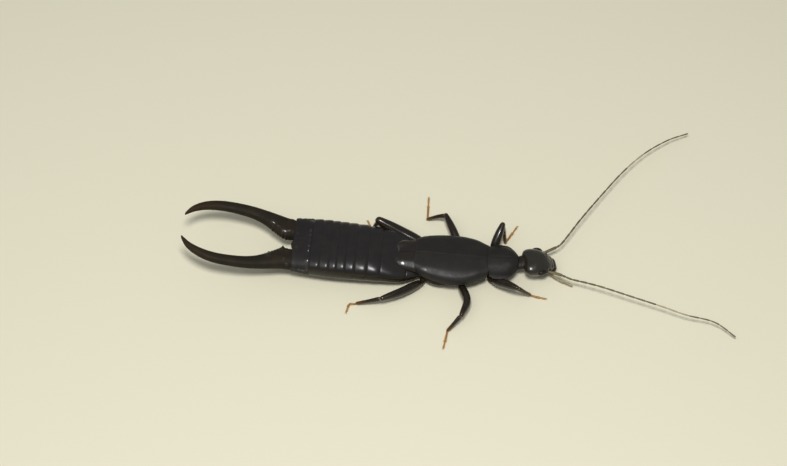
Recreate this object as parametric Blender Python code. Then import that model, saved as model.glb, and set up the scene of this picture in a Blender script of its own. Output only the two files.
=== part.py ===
# Male black earwig, life size, standing: +X to the head, +Y to its left side, +Z up, floor at Z = 0.
# Shapes are worked out in millimetres in the body's own frame, whose X = 0 is the rear edge of the
# neck shield, and are moved to the model's frame and turned into metres when their meshes are made.
import math

import bmesh
import bpy
from mathutils import Matrix, Vector

# General sizes
MM = 0.001
ORIGIN = Vector((-1.893, 3.470, 0.0))
SEAM = 0.05
LEAST_RADIUS = 0.25
MERGE = 0.002

# Trunk
TRUNK_LINE = (
    # x, how far the middle line lies to the left
    (-14.7, 0.10),
    (-13.0, 0.07),
    (-11.0, 0.02),
    (-9.0, -0.01),
    (-7.0, -0.03),
    (-5.1, -0.08),
    (-2.0, -0.10),
    (0.0, -0.03),
    (1.2, 0.02),
    (2.6, 0.03),
)
TRUNK_SIDES, TRUNK_SQUARENESS = 20, 2.3
BLOCK_SIDES, BLOCK_SQUARENESS = 14, 3.0
WING_THICKNESS = 0.5

# Abdomen: edges between its rings from front to rear, then its outline at a few places
RING_EDGES = (-5.12, -5.92, -7.87, -8.87, -9.80, -10.53, -11.19, -11.77, -12.50, -13.27, -14.70)
ABDOMEN_OUTLINE = (
    # x, half width, top, underside
    (-5.1, 1.46, 1.40, 0.44),
    (-6.0, 1.92, 1.50, 0.38),
    (-6.88, 2.18, 1.55, 0.35),
    (-7.02, 2.20, 1.98, 0.34),
    (-7.9, 2.28, 2.30, 0.30),
    (-8.9, 2.34, 2.50, 0.27),
    (-10.5, 2.38, 2.66, 0.25),
    (-12.0, 2.34, 2.72, 0.32),
    (-13.3, 2.27, 2.70, 0.50),
    (-14.7, 2.20, 2.58, 0.92),
)
RING_STEPS = (
    # share of a ring's length, share of the outline
    (0.0, 0.94),
    (0.14, 0.985),
    (0.78, 1.0),
    (1.0, 0.975),
)
STEPPED_RING, WING_TIP_STEP, STEP_REACH, STEP_SHARE = 2, -6.95, 0.07, 0.99
LAST_SQUARENESS = 2.7

# Wing covers: outline of both together
COVER_OUTLINE = (
    # x, half width, top, lower edge
    (0.16, 1.45, 2.02, 1.32),
    (-0.6, 1.88, 2.12, 1.24),
    (-1.6, 2.15, 2.20, 1.20),
    (-2.9, 2.20, 2.24, 1.20),
    (-4.2, 1.98, 2.23, 1.32),
    (-5.4, 1.62, 2.20, 1.52),
)
COVER_FRONT, COVER_REAR, COVER_STEPS = 0.16, -5.4, 8
COVER_FRONT_SWEEP, COVER_REAR_SWEEP = 0.35, 0.12
COVER_SQUARENESS = 3.2
ARCH_SIDES = 6
WING_TIP_CENTRE, WING_TIP_LENGTH, WING_TIP_WIDTH = (-5.93, 0.70), 0.93, 0.66
WING_TIP_TOP, WING_TIP_BASE = 2.14, 1.64
WING_TIP_SIDES, WING_TIP_SQUARENESS = 14, 2.5
WING_TIP_LEVELS = (
    # share of the height, share of the outline
    (0.0, 0.93),
    (0.12, 1.0),
    (0.8, 1.0),
    (1.0, 0.86),
)

# Neck shield
SHIELD_OUTLINE = (
    # x, half width, top, side edge
    (0.26, 1.44, 2.12, 1.50),
    (0.7, 1.51, 2.18, 1.48),
    (1.4, 1.53, 2.20, 1.47),
    (1.75, 1.46, 2.18, 1.47),
    (2.1, 1.20, 2.12, 1.47),
    (2.4, 0.84, 2.02, 1.48),
    (2.50, 0.66, 1.98, 1.48),
)
SHIELD_PLACES = (0.26, 0.42, 0.8, 1.3, 1.75, 2.1, 2.35, 2.50)
SHIELD_SQUARENESS = 2.9
SHIELD_REAR_SWEEP, SHIELD_FRONT_SWEEP, SHIELD_MIDDLE = 0.10, -0.06, 1.3

# Blocks of the thorax below the plates, and the neck
PROTHORAX_BASE = 0.50
PROTHORAX_RINGS = (
    # x, half width, top
    (0.10, 0.62, 1.46),
    (0.45, 0.74, 1.56),
    (1.6, 0.72, 1.56),
    (2.33, 0.42, 1.38),
)
THORAX_PLACES, THORAX_BASE = (0.0, -0.8, -2.0, -3.2, -4.2, -5.06), 0.96
THORAX_SIDE_GAP, THORAX_TOP_GAP = 0.16, 0.06
STERNUM_TOP, STERNUM_BASE = 0.90, 0.36
STERNUM_RINGS = (
    # x, half width
    (-0.02, 0.50),
    (-0.5, 0.76),
    (-2.5, 0.77),
    (-4.6, 0.76),
    (-5.06, 0.60),
)
NECK_SIDES = 12
NECK_RINGS = (
    # x, sideways, height, half width, half depth
    (2.38, 0.00, 1.06, 0.36, 0.24),
    (2.56, 0.02, 1.16, 0.42, 0.27),
    (2.71, 0.04, 1.24, 0.38, 0.25),
)

# Head
HEAD_CENTRE = Vector((3.98, 0.28, 1.32))
HEAD_YAW, HEAD_PITCH = math.radians(14.0), math.radians(15.0)
HEAD_OUTLINE = (
    # distance along the head, half width, top, underside
    (-1.16, 0.50, 0.26, -0.30),
    (-1.02, 0.86, 0.44, -0.42),
    (-0.70, 1.10, 0.58, -0.52),
    (-0.25, 1.15, 0.66, -0.58),
    (0.20, 1.10, 0.64, -0.58),
    (0.60, 0.96, 0.52, -0.50),
    (0.95, 0.74, 0.34, -0.34),
    (1.18, 0.52, 0.18, -0.16),
)
HEAD_SIDES, HEAD_SQUARENESS = 18, 2.2
EYE_PLACE, EYE_SIZE, EYE_CUT = Vector((0.10, 1.20, 0.12)), Vector((0.42, 0.20, 0.32)), 0.02
EYE_SEGMENTS, EYE_ROWS = 10, 8
LABRUM_SIDES, LABRUM_SQUARENESS = 10, 2.6
LABRUM_RINGS = (
    # distance along the head, half width, top, underside
    (1.23, 0.44, 0.14, -0.14),
    (1.36, 0.42, 0.09, -0.15),
    (1.46, 0.28, 0.02, -0.14),
)
MANDIBLE_SIDES, MANDIBLE_SQUARENESS = 8, 2.4
MANDIBLE_RINGS = (
    # distance along the head, inner side, outer side, top, underside
    (0.98, 0.05, 0.52, -0.42, -0.66),
    (1.25, 0.04, 0.46, -0.26, -0.58),
    (1.50, 0.04, 0.30, -0.24, -0.46),
)

# Pincers: middle line and size of one arm
PINCER_ROUTE = (
    # x, distance from the middle, height, half width, half thickness
    (-14.76, 1.36, 1.78, 0.86, 0.60),
    (-15.40, 1.42, 1.90, 0.84, 0.58),
    (-16.25, 1.77, 2.07, 0.70, 0.50),
    (-17.00, 2.05, 2.21, 0.58, 0.44),
    (-18.00, 2.30, 2.41, 0.49, 0.40),
    (-19.20, 2.42, 2.65, 0.44, 0.37),
    (-20.50, 2.40, 2.90, 0.41, 0.34),
    (-21.60, 2.15, 3.13, 0.36, 0.31),
    (-22.45, 1.70, 3.29, 0.28, 0.27),
    (-23.00, 1.10, 3.41, 0.12, 0.12),
)
PINCER_TEETH = ((-15.30, 0.05), (-15.52, 0.12), (-15.80, 0.07), (-16.30, 0.09))
TOOTH_LENGTH = 0.14
PINCER_SIDES, PINCER_SQUARENESS = 10, 2.3
ROOT_STEPS, ROOT_STEP, ARM_STEPS, ARM_STEP = 12, 0.17, 8, 0.45
END_PLACES = (-22.45, -22.75, -23.00)
PINCER_POINT = Vector((-0.10, -0.16, 0.02))
TAIL_SIDES, TAIL_SQUARENESS = 10, 2.6
TAIL_RINGS = (
    # x, half width, top, underside
    (-14.75, 0.36, 2.02, 1.50),
    (-14.95, 0.32, 2.00, 1.54),
    (-15.12, 0.18, 1.92, 1.62),
)

# Feelers: one route for each side, from the head to the tip
FEELER_SEGMENTS = 20
FEELER_SOCKET, FEELER_WAY = Vector((0.95, 0.84, 0.0)), Vector((0.62, 0.78, 0.0))
FEELER_SWELLING, FEELER_BASE_SWELLING = 0.035, 0.05
TUBE_SIDES = 8
FEELER_ROUTES = {
    "right": ((4.96, -0.46, 1.13), (6.42, -0.93, 1.30), (8.77, -1.60, 1.50), (11.13, -2.27, 1.45),
              (13.47, -2.91, 1.35), (15.29, -3.41, 1.20), (17.49, -3.73, 0.95), (19.07, -4.63, 0.55)),
    "left": ((4.64, 1.16, 1.28), (5.51, 1.94, 1.50), (7.12, 4.46, 1.60), (8.76, 7.13, 1.50),
             (10.30, 9.50, 1.38), (11.95, 11.55, 1.22), (13.80, 13.20, 1.00), (15.40, 14.20, 0.75)),
}
PALP_ROUTES = {
    "right": ((4.98, -0.52, 0.44), (5.50, -0.76, 0.46), (6.10, -0.92, 0.42), (6.70, -1.08, 0.36)),
    "left": ((4.56, 1.30, 0.38), (4.78, 1.38, 0.37), (5.00, 1.36, 0.36), (5.18, 1.26, 0.35)),
}
PALP_STEPS = 5

# Legs: hip, thigh by way of a bend, knee, ankle and toe
SOLE = 0.20
LEGS = {
    "front_left": dict(hip=(0.55, 1.02, 0.62), thigh=((0.52, 1.45, 0.78), (0.80, 2.20, 1.45)),
                       knee=(1.12, 3.04, 2.10), ankle=(1.42, 2.62, 0.34), toes=((2.24, 4.25, SOLE),)),
    "front_right": dict(hip=(0.55, -1.02, 0.62), thigh=((0.70, -1.42, 0.76), (1.60, -1.98, 1.22)),
                        knee=(2.53, -2.44, 1.62), ankle=(3.57, -2.10, 0.34), toes=((4.90, -2.24, SOLE),)),
    "middle_left": dict(hip=(-1.95, 1.05, 0.60), thigh=((-2.02, 1.65, 0.60), (-2.66, 2.95, 0.98)),
                        knee=(-3.30, 4.15, 1.25), ankle=(-4.74, 4.32, 0.34), toes=((-4.81, 6.42, SOLE),)),
    "middle_right": dict(hip=(-1.95, -1.05, 0.60), thigh=((-1.80, -1.70, 0.60), (-1.16, -3.40, 0.93)),
                         knee=(-1.49, -4.80, 1.10), ankle=(-2.46, -5.80, 0.34), toes=((-2.66, -7.26, SOLE),)),
    "hind_left": dict(hip=(-4.50, 1.05, 0.60), thigh=((-4.75, 1.75, 0.60), (-6.60, 2.84, 1.08)),
                      knee=(-8.38, 2.75, 2.00), ankle=(-9.10, 2.95, 0.34), toes=((-9.48, 4.02, SOLE),)),
    "hind_right": dict(hip=(-4.50, -1.05, 0.60), thigh=((-4.72, -1.78, 0.60), (-6.20, -3.00, 0.90)),
                       knee=(-7.57, -3.80, 1.05), ankle=(-9.50, -3.95, 0.34),
                       toes=((-10.04, -4.00, SOLE), (-10.22, -4.70, SOLE))),
}
HIP_RADIUS, THIGH_RADIUS, KNEE_RADIUS = 0.30, 0.36, 0.27
HIP_DEPTH, HIP_CUT = 0.3, 0.92
THIGH_STEPS = 5
LANDING_SHARE = 0.3
SHARP_EDGE = math.radians(40)

# Finishes: name, colour, roughness
SHELL_BLACK = ("shell_black", (0.030, 0.027, 0.024), 0.32)
GLOSS_BLACK = ("gloss_black", (0.022, 0.017, 0.010), 0.22)
EYE_BLACK = ("eye_black", (0.012, 0.010, 0.009), 0.15)
UNDERSIDE_BROWN = ("underside_brown", (0.050, 0.034, 0.018), 0.45)
FEELER_BROWN = ("feeler_brown", (0.055, 0.040, 0.020), 0.50)
FOOT_AMBER = ("foot_amber", (0.42, 0.20, 0.045), 0.45)


def finish(name, colour, roughness):
    """Return the named material, made once."""
    if name not in bpy.data.materials:
        made = bpy.data.materials.new(name)
        made.use_nodes = True
        shader = made.node_tree.nodes["Principled BSDF"]
        shader.inputs["Base Color"].default_value = (*colour, 1.0)
        shader.inputs["Roughness"].default_value = roughness
        shader.inputs["Metallic"].default_value = 0.0
    return bpy.data.materials[name]


def add_object(name, shape, surface):
    """Turn a shape in millimetres into the named object in metres."""
    bmesh.ops.remove_doubles(shape, verts=shape.verts, dist=MERGE)
    bmesh.ops.recalc_face_normals(shape, faces=shape.faces)
    bmesh.ops.triangulate(shape, faces=shape.faces)
    bmesh.ops.transform(shape, matrix=Matrix.Scale(MM, 4) @ Matrix.Translation(-ORIGIN), verts=shape.verts)
    mesh = bpy.data.meshes.new(name)
    shape.to_mesh(mesh)
    shape.free()
    mesh.materials.append(finish(*surface))
    mesh.shade_smooth()
    mesh.set_sharp_from_angle(angle=SHARP_EDGE)
    made = bpy.data.objects.new(name, mesh)
    bpy.context.collection.objects.link(made)
    return made


def smooth_value(stations, place):
    """Read the columns after the first at a place, on a smooth curve through the stations."""
    rows = sorted(stations)
    low = max(i for i in range(len(rows) - 1) if i == 0 or rows[i][0] <= place)
    before, start, end = rows[max(low - 1, 0)], rows[low], rows[low + 1]
    after = rows[min(low + 2, len(rows) - 1)]
    span = end[0] - start[0]
    t = min(max((place - start[0]) / span, 0.0), 1.0)
    values = []
    for column in range(1, len(start)):
        slope_in = (end[column] - before[column]) / (end[0] - before[0])
        slope_out = (after[column] - start[column]) / (after[0] - start[0])
        values.append((2 * t**3 - 3 * t**2 + 1) * start[column] + (t**3 - 2 * t**2 + t) * slope_in * span
                      + (3 * t**2 - 2 * t**3) * end[column] + (t**3 - t**2) * slope_out * span)
    return values


def smooth_route(points, steps):
    """Sample a smooth curve through a few points, evenly by length."""
    points = [Vector(p) for p in points]
    lengths = [0.0]
    for start, end in zip(points, points[1:]):
        lengths.append(lengths[-1] + (end - start).length)
    stations = [(length, *point) for length, point in zip(lengths, points)]
    return [Vector(smooth_value(stations, lengths[-1] * i / steps)) for i in range(steps + 1)]


def middle(x):
    """Sideways place of the trunk's middle line."""
    return smooth_value(TRUNK_LINE, x)[0]


def oval(half_width, top, bottom, sides, power=TRUNK_SQUARENESS):
    """Points of a rounded outline across the body, as (sideways, height)."""
    middle_height, half_height = (top + bottom) / 2, (top - bottom) / 2
    points = []
    for i in range(sides):
        angle = math.tau * i / sides
        c, s = math.cos(angle), math.sin(angle)
        points.append((half_width * math.copysign(abs(c) ** (2 / power), c),
                       middle_height + half_height * math.copysign(abs(s) ** (2 / power), s)))
    return points


def skin_rings(rings, tips=(None, None)):
    """Join like rings of points into one closed shape, with flat or pointed ends."""
    shape = bmesh.new()
    rows = [[shape.verts.new(point) for point in ring] for ring in rings]
    count = len(rows[0])
    for near, far in zip(rows, rows[1:]):
        for i in range(count):
            j = (i + 1) % count
            shape.faces.new((near[i], near[j], far[j], far[i]))
    for row, tip in ((rows[0], tips[0]), (rows[-1], tips[1])):
        if tip is None:
            shape.faces.new(row)
        else:
            point = shape.verts.new(tip)
            for i in range(count):
                shape.faces.new((row[i], row[(i + 1) % count], point))
    return shape


def trunk_ring(x, half_width, top, bottom, sides=TRUNK_SIDES, power=TRUNK_SQUARENESS):
    """A rounded outline across the trunk at x."""
    return [Vector((x, middle(x) + y, z)) for y, z in oval(half_width, top, bottom, sides, power)]


def scaled(size, share):
    """Shrink an outline of half width, top and bottom about its own middle."""
    half_width, top, bottom = size
    level, half_height = (top + bottom) / 2, (top - bottom) / 2
    return half_width * share, level + half_height * share, level - half_height * share


def cut(shape, point, normal):
    """Remove what lies beyond a plane, and close the shape there."""
    everything = shape.verts[:] + shape.edges[:] + shape.faces[:]
    bmesh.ops.bisect_plane(shape, geom=everything, dist=2 * MERGE, plane_co=point, plane_no=normal,
                           clear_outer=True)
    rim = [edge for edge in shape.edges if edge.is_boundary]
    if rim:
        bmesh.ops.edgenet_fill(shape, edges=rim)


def tube(route, radii, cap_rings=2):
    """A round tube along a route, with half-ball ends."""
    tangents = [(route[min(i + 1, len(route) - 1)] - route[max(i - 1, 0)]).normalized()
                for i in range(len(route))]
    across = Vector((0, 0, 1)).cross(tangents[0]).normalized()
    frames = []
    for tangent in tangents:
        across = (across - tangent * across.dot(tangent)).normalized()
        frames.append((across, tangent.cross(across)))

    def ring(centre, frame, radius):
        side, above = frame
        angles = [math.tau * i / TUBE_SIDES for i in range(TUBE_SIDES)]
        return [centre + (side * math.cos(angle) + above * math.sin(angle)) * radius for angle in angles]

    bends = [math.radians(90) * (k + 1) / (cap_rings + 1) for k in range(cap_rings)]
    rings = []
    for bend in bends:
        centre = route[0] - tangents[0] * radii[0] * math.cos(bend)
        rings.append(ring(centre, frames[0], radii[0] * math.sin(bend)))
    for point, frame, radius in zip(route, frames, radii):
        rings.append(ring(point, frame, radius))
    for bend in reversed(bends):
        centre = route[-1] + tangents[-1] * radii[-1] * math.cos(bend)
        rings.append(ring(centre, frames[-1], radii[-1] * math.sin(bend)))
    tips = (route[0] - tangents[0] * radii[0], route[-1] + tangents[-1] * radii[-1])
    return skin_rings(rings, tips)


def add_abdomen():
    """Ten rings, each tucked a little under the rim of the one before it."""
    for number, (front, rear) in enumerate(zip(RING_EDGES, RING_EDGES[1:]), start=1):
        length = front - rear - SEAM
        power = LAST_SQUARENESS if number == len(RING_EDGES) - 1 else TRUNK_SQUARENESS
        steps = [(front - length * share, size) for share, size in RING_STEPS]
        if number == STEPPED_RING:
            steps[2:2] = [(WING_TIP_STEP + STEP_REACH, STEP_SHARE), (WING_TIP_STEP - STEP_REACH, STEP_SHARE)]
        rings = []
        for x, share in steps:
            size = scaled(smooth_value(ABDOMEN_OUTLINE, x), share)
            rings.append(trunk_ring(x, *size, power=power))
        add_object(f"abdomen_{number}", skin_rings(rings), SHELL_BLACK)


def shell_ring(x, size, inner, power, sweep):
    """A half arch, from the middle line over the shoulder to the side edge and back inside."""
    half_width, top, edge = size
    outside, inside = [], []
    for i in range(ARCH_SIDES + 1):
        angle = math.radians(90) * (1 - i / ARCH_SIDES)
        across, rise = math.cos(angle) ** (2 / power), math.sin(angle) ** (2 / power)
        outside.append((inner + (half_width - inner) * across, edge + (top - edge) * rise))
        reach, height = half_width - WING_THICKNESS - inner, top - WING_THICKNESS - edge
        inside.append((inner + reach * across, edge + height * rise))
    return [(x + sweep * (y / half_width) ** 2, y, z) for y, z in outside + inside[::-1]]


def add_wing_covers():
    """Two stiff covers that meet along the back and fold down over the flanks."""
    for side, sign in (("left", 1), ("right", -1)):
        rings = []
        for i in range(COVER_STEPS + 1):
            share = i / COVER_STEPS
            x = COVER_FRONT + (COVER_REAR - COVER_FRONT) * share
            sweep = -COVER_FRONT_SWEEP * (1 - share) ** 2 - COVER_REAR_SWEEP * share
            arch = shell_ring(x, smooth_value(COVER_OUTLINE, x), SEAM / 2, COVER_SQUARENESS, sweep)
            rings.append([Vector((px, middle(px) + sign * y, z)) for px, y, z in arch])
        add_object(f"tegmen_{side}", skin_rings(rings), SHELL_BLACK)


def add_wing_tips():
    """Ends of the folded hind wings, past the covers."""
    front = COVER_REAR - COVER_REAR_SWEEP - SEAM
    centre_x, centre_y = WING_TIP_CENTRE
    for side, sign in (("left", 1), ("right", -1)):
        rings = []
        for level, share in WING_TIP_LEVELS:
            z = WING_TIP_BASE + (WING_TIP_TOP - WING_TIP_BASE) * level
            half_width, half_length = WING_TIP_WIDTH * share, WING_TIP_LENGTH * share
            outline = oval(half_width, half_length, -half_length, WING_TIP_SIDES, WING_TIP_SQUARENESS)
            rings.append([Vector((centre_x + x, middle(centre_x) + sign * (centre_y + y), z))
                          for y, x in outline])
        shape = skin_rings(rings)
        cut(shape, Vector((front, 0, 0)), Vector((1, 0, 0)))
        add_object(f"wing_tip_{side}", shape, SHELL_BLACK)


def add_shield():
    """The neck shield, an arched plate over the front of the thorax."""
    rings = []
    for x in SHIELD_PLACES:
        sweep = SHIELD_REAR_SWEEP if x < SHIELD_MIDDLE else SHIELD_FRONT_SWEEP
        arch = shell_ring(x, smooth_value(SHIELD_OUTLINE, x), 0.0, SHIELD_SQUARENESS, sweep)
        outer, inner = arch[:ARCH_SIDES + 1], arch[ARCH_SIDES + 1:]
        right = [(px, -y, z) for px, y, z in outer[:0:-1]]
        right_inner = [(px, -y, z) for px, y, z in inner[-2::-1]]
        loop = right + outer + inner + right_inner
        rings.append([Vector((px, middle(px) + y, z)) for px, y, z in loop])
    add_object("pronotum", skin_rings(rings), SHELL_BLACK)


def add_block(name, stations):
    """A rounded block of the trunk through stations of x, half width, top and underside."""
    rings = [trunk_ring(*station, sides=BLOCK_SIDES, power=BLOCK_SQUARENESS) for station in stations]
    add_object(name, skin_rings(rings), UNDERSIDE_BROWN)


def add_thorax():
    """The blocks of the thorax that the shield and the wing covers hide, and the neck."""
    add_block("prothorax", [(x, half, top, PROTHORAX_BASE) for x, half, top in PROTHORAX_RINGS])
    stations = []
    for x in THORAX_PLACES:
        half_width, top, _ = smooth_value(COVER_OUTLINE, x)
        half_width -= WING_THICKNESS + THORAX_SIDE_GAP
        stations.append((x, half_width, top - WING_THICKNESS - THORAX_TOP_GAP, THORAX_BASE))
    add_block("thorax", stations)
    add_block("sternum", [(x, half, STERNUM_TOP, STERNUM_BASE) for x, half in STERNUM_RINGS])
    rings = []
    for x, y, z, half, deep in NECK_RINGS:
        rings.append([Vector((x, y + py, pz)) for py, pz in oval(half, z + deep, z - deep, NECK_SIDES)])
    add_object("neck", skin_rings(rings), UNDERSIDE_BROWN)


def head_frame():
    """Place of the head, turned to its left and tipped down."""
    turn = Matrix.Rotation(HEAD_YAW, 4, "Z") @ Matrix.Rotation(HEAD_PITCH, 4, "Y")
    return Matrix.Translation(HEAD_CENTRE) @ turn


def add_head_piece(name, stations, sides, power, surface):
    """A closed piece on the head: each station is distance along, middle, half width, top, underside."""
    place = head_frame()
    rings = [[place @ Vector((along, aside + y, z)) for y, z in oval(half, top, bottom, sides, power)]
             for along, aside, half, top, bottom in stations]
    add_object(name, skin_rings(rings), surface)


def add_head():
    """Skull, eyes, upper lip, jaws."""
    stations = [(along, 0.0, half, top, bottom) for along, half, top, bottom in HEAD_OUTLINE]
    add_head_piece("head", stations, HEAD_SIDES, HEAD_SQUARENESS, SHELL_BLACK)
    for side, sign in (("left", 1), ("right", -1)):
        shape = bmesh.new()
        bmesh.ops.create_uvsphere(shape, u_segments=EYE_SEGMENTS, v_segments=EYE_ROWS, radius=1.0)
        centre = Vector((EYE_PLACE.x, sign * EYE_PLACE.y, EYE_PLACE.z))
        size = Matrix.Translation(centre) @ Matrix.Diagonal((*EYE_SIZE, 1.0))
        bmesh.ops.transform(shape, matrix=size, verts=shape.verts)
        cut(shape, Vector((0, sign * (EYE_PLACE.y + EYE_CUT), 0)), Vector((0, -sign, 0)))
        bmesh.ops.transform(shape, matrix=head_frame(), verts=shape.verts)
        add_object(f"eye_{side}", shape, EYE_BLACK)
    stations = [(along, 0.0, half, top, bottom) for along, half, top, bottom in LABRUM_RINGS]
    add_head_piece("labrum", stations, LABRUM_SIDES, LABRUM_SQUARENESS, GLOSS_BLACK)
    for side, sign in (("left", 1), ("right", -1)):
        stations = []
        for along, inner, outer, top, bottom in MANDIBLE_RINGS:
            stations.append((along, sign * (outer + inner) / 2, (outer - inner) / 2, top, bottom))
        add_head_piece(f"mandible_{side}", stations, MANDIBLE_SIDES, MANDIBLE_SQUARENESS, GLOSS_BLACK)


def add_feelers():
    """Long jointed feelers, and the short palps beside the jaws."""
    place = head_frame()
    for side, points in FEELER_ROUTES.items():
        route = smooth_route(points, FEELER_SEGMENTS * 2)
        radii = [LEAST_RADIUS + (FEELER_SWELLING if i % 2 else 0.0) for i in range(len(route))]
        radii[1] = radii[2] = LEAST_RADIUS + FEELER_BASE_SWELLING
        sign = 1 if side == "left" else -1
        socket, outward = FEELER_SOCKET.copy(), FEELER_WAY.copy()
        socket.y *= sign
        outward.y *= sign
        shape = tube(route, radii)
        cut(shape, place @ socket, place.to_3x3() @ -outward)
        add_object(f"antenna_{side}", shape, FEELER_BROWN)
    for side, points in PALP_ROUTES.items():
        route = smooth_route(points, PALP_STEPS)
        add_object(f"palp_{side}", tube(route, [LEAST_RADIUS] * len(route)), FEELER_BROWN)


def add_pincers():
    """The pair of bowed pincers, toothed along the inner side of their broad roots."""
    places = [PINCER_ROUTE[0][0] - ROOT_STEP * i for i in range(ROOT_STEPS)]
    places += [places[-1] - ARM_STEP * (i + 1) for i in range(ARM_STEPS)]
    places += END_PLACES
    for side, sign in (("left", 1), ("right", -1)):
        rings = []
        for x in places:
            y, z, half_width, half_height = smooth_value(PINCER_ROUTE, x)
            ahead, behind = smooth_value(PINCER_ROUTE, x - SEAM), smooth_value(PINCER_ROUTE, x + SEAM)
            along = Vector((-2 * SEAM, sign * (ahead[0] - behind[0]), 0)).normalized()
            if x == places[0]:
                along = Vector((-1, 0, 0))
            across = Vector((along.y, -along.x, 0)) * sign
            tooth = sum(height * math.exp(-((x - at) * 2 / TOOTH_LENGTH) ** 2) for at, height in PINCER_TEETH)
            ring = []
            for u, v in oval(1.0, 1.0, -1.0, PINCER_SIDES, PINCER_SQUARENESS):
                reach = half_width * u - (tooth * u**2 if u < 0 else 0.0)
                ring.append(Vector((x, sign * y, z)) + across * reach + Vector((0, 0, half_height * v)))
            rings.append(ring)
        end_x, end_y, end_z = PINCER_ROUTE[-1][:3]
        tip = Vector((end_x + PINCER_POINT.x, sign * (end_y + PINCER_POINT.y), end_z + PINCER_POINT.z))
        add_object(f"forceps_{side}", skin_rings(rings, (None, tip)), GLOSS_BLACK)
    rings = [[Vector((x, y, z)) for y, z in oval(half, top, bottom, TAIL_SIDES, TAIL_SQUARENESS)]
             for x, half, top, bottom in TAIL_RINGS]
    add_object("pygidium", skin_rings(rings), GLOSS_BLACK)


def part_between(shape, start, end):
    """Trim a limb at its two joints: each joint is a point with the directions before and after it."""
    for joint, keep_after in ((start, True), (end, False)):
        if joint is None:
            continue
        point, before, after = joint
        normal = (before.normalized() + after.normalized()).normalized()
        if keep_after:
            cut(shape, point + normal * SEAM / 2, -normal)
        else:
            cut(shape, point - normal * SEAM / 2, normal)


def add_leg(name, leg):
    """Hip, thigh, shin and foot, parted by thin cuts at the joints."""
    hip = Vector(leg["hip"])
    first, bend = (Vector(p) for p in leg["thigh"])
    knee, ankle = Vector(leg["knee"]), Vector(leg["ankle"])
    toes = [Vector(p) for p in leg["toes"]]
    thigh_route = smooth_route((first, bend, knee), THIGH_STEPS)
    start_way, end_way = thigh_route[1] - thigh_route[0], thigh_route[-1] - thigh_route[-2]
    hip_joint = (first, first - hip, start_way)
    knee_joint = (knee, end_way, ankle - knee)
    ankle_joint = (ankle, ankle - knee, toes[0] - ankle)

    side = 1 if hip.y > 0 else -1
    shape = tube([hip - Vector((0, side * HIP_DEPTH, 0)), hip, first], [HIP_RADIUS] * 3)
    cut(shape, Vector((0, side * HIP_CUT, 0)), Vector((0, -side, 0)))
    part_between(shape, None, hip_joint)
    add_object(f"leg_{name}_coxa", shape, UNDERSIDE_BROWN)

    narrowing = KNEE_RADIUS - THIGH_RADIUS
    radii = [THIGH_RADIUS + narrowing * (i / THIGH_STEPS) ** 2 for i in range(THIGH_STEPS + 1)]
    shape = tube(thigh_route, radii)
    part_between(shape, hip_joint, knee_joint)
    add_object(f"leg_{name}_femur", shape, GLOSS_BLACK)

    shape = tube([knee, knee.lerp(ankle, 1 / 3), knee.lerp(ankle, 2 / 3), ankle],
                 [KNEE_RADIUS, LEAST_RADIUS, LEAST_RADIUS, LEAST_RADIUS])
    part_between(shape, knee_joint, ankle_joint)
    add_object(f"leg_{name}_tibia", shape, GLOSS_BLACK)

    landed = ankle.lerp(toes[0], LANDING_SHARE)
    landed.z = SOLE
    route = [ankle, landed] + toes
    shape = tube(route, [LEAST_RADIUS] * len(route))
    part_between(shape, ankle_joint, None)
    cut(shape, Vector((0, 0, 0)), Vector((0, 0, -1)))
    add_object(f"leg_{name}_tarsus", shape, FOOT_AMBER)


def main():
    """Build every piece."""
    for old in list(bpy.data.objects):
        bpy.data.objects.remove(old, do_unlink=True)
    add_abdomen()
    add_wing_covers()
    add_wing_tips()
    add_shield()
    add_thorax()
    add_head()
    add_feelers()
    add_pincers()
    for name, leg in LEGS.items():
        add_leg(name, leg)


main()
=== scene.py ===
import math
import random

import bpy
from mathutils import Matrix, Vector


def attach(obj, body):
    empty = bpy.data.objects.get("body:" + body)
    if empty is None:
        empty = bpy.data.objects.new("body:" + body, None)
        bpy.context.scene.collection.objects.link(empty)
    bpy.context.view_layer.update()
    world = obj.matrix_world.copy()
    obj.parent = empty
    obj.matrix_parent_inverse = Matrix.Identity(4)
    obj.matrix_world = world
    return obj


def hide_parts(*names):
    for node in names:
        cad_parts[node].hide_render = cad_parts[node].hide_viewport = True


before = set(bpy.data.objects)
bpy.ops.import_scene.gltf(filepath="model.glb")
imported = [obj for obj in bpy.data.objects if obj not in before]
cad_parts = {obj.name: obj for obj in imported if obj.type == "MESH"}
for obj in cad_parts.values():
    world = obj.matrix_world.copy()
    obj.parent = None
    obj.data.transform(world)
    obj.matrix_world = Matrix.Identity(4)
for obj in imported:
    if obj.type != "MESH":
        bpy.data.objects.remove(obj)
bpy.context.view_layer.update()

# A male black earwig, life size. Every shape below is given in millimetres in the animal's own frame:
# X = 0 at the rear edge of the neck shield, +X to the head, +Y to its left side, floor at Z = 0.
# finishPiece brings a shape to metres in the model's frame.
mm = 0.001
frameOrigin = Vector((-1.893, 3.470, 0.0))
random.seed(11)


def toModel(point):
    return (Vector(point) - frameOrigin) * mm


# View of the photo
viewLook = {
    "azimuth": 4.94, "elevation": 55.0, "distance": 160.0, "target": (-7.2, 1.97, 1.5),
    "lens": 95.146, "sensor": 36.0, "clipStart": 0.001, "clipEnd": 6.0,
}


def aimed(turn, rise, distance):
    # place and rotation of a camera or a light that looks at the view's target
    turn, rise = math.radians(turn), math.radians(rise)
    back = Vector((math.sin(turn) * math.cos(rise), -math.cos(turn) * math.cos(rise), math.sin(rise)))
    place = toModel(viewLook["target"]) + back * distance * mm
    return {"location": place, "rotation": back.to_track_quat("Z", "Y").to_euler()}


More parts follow.
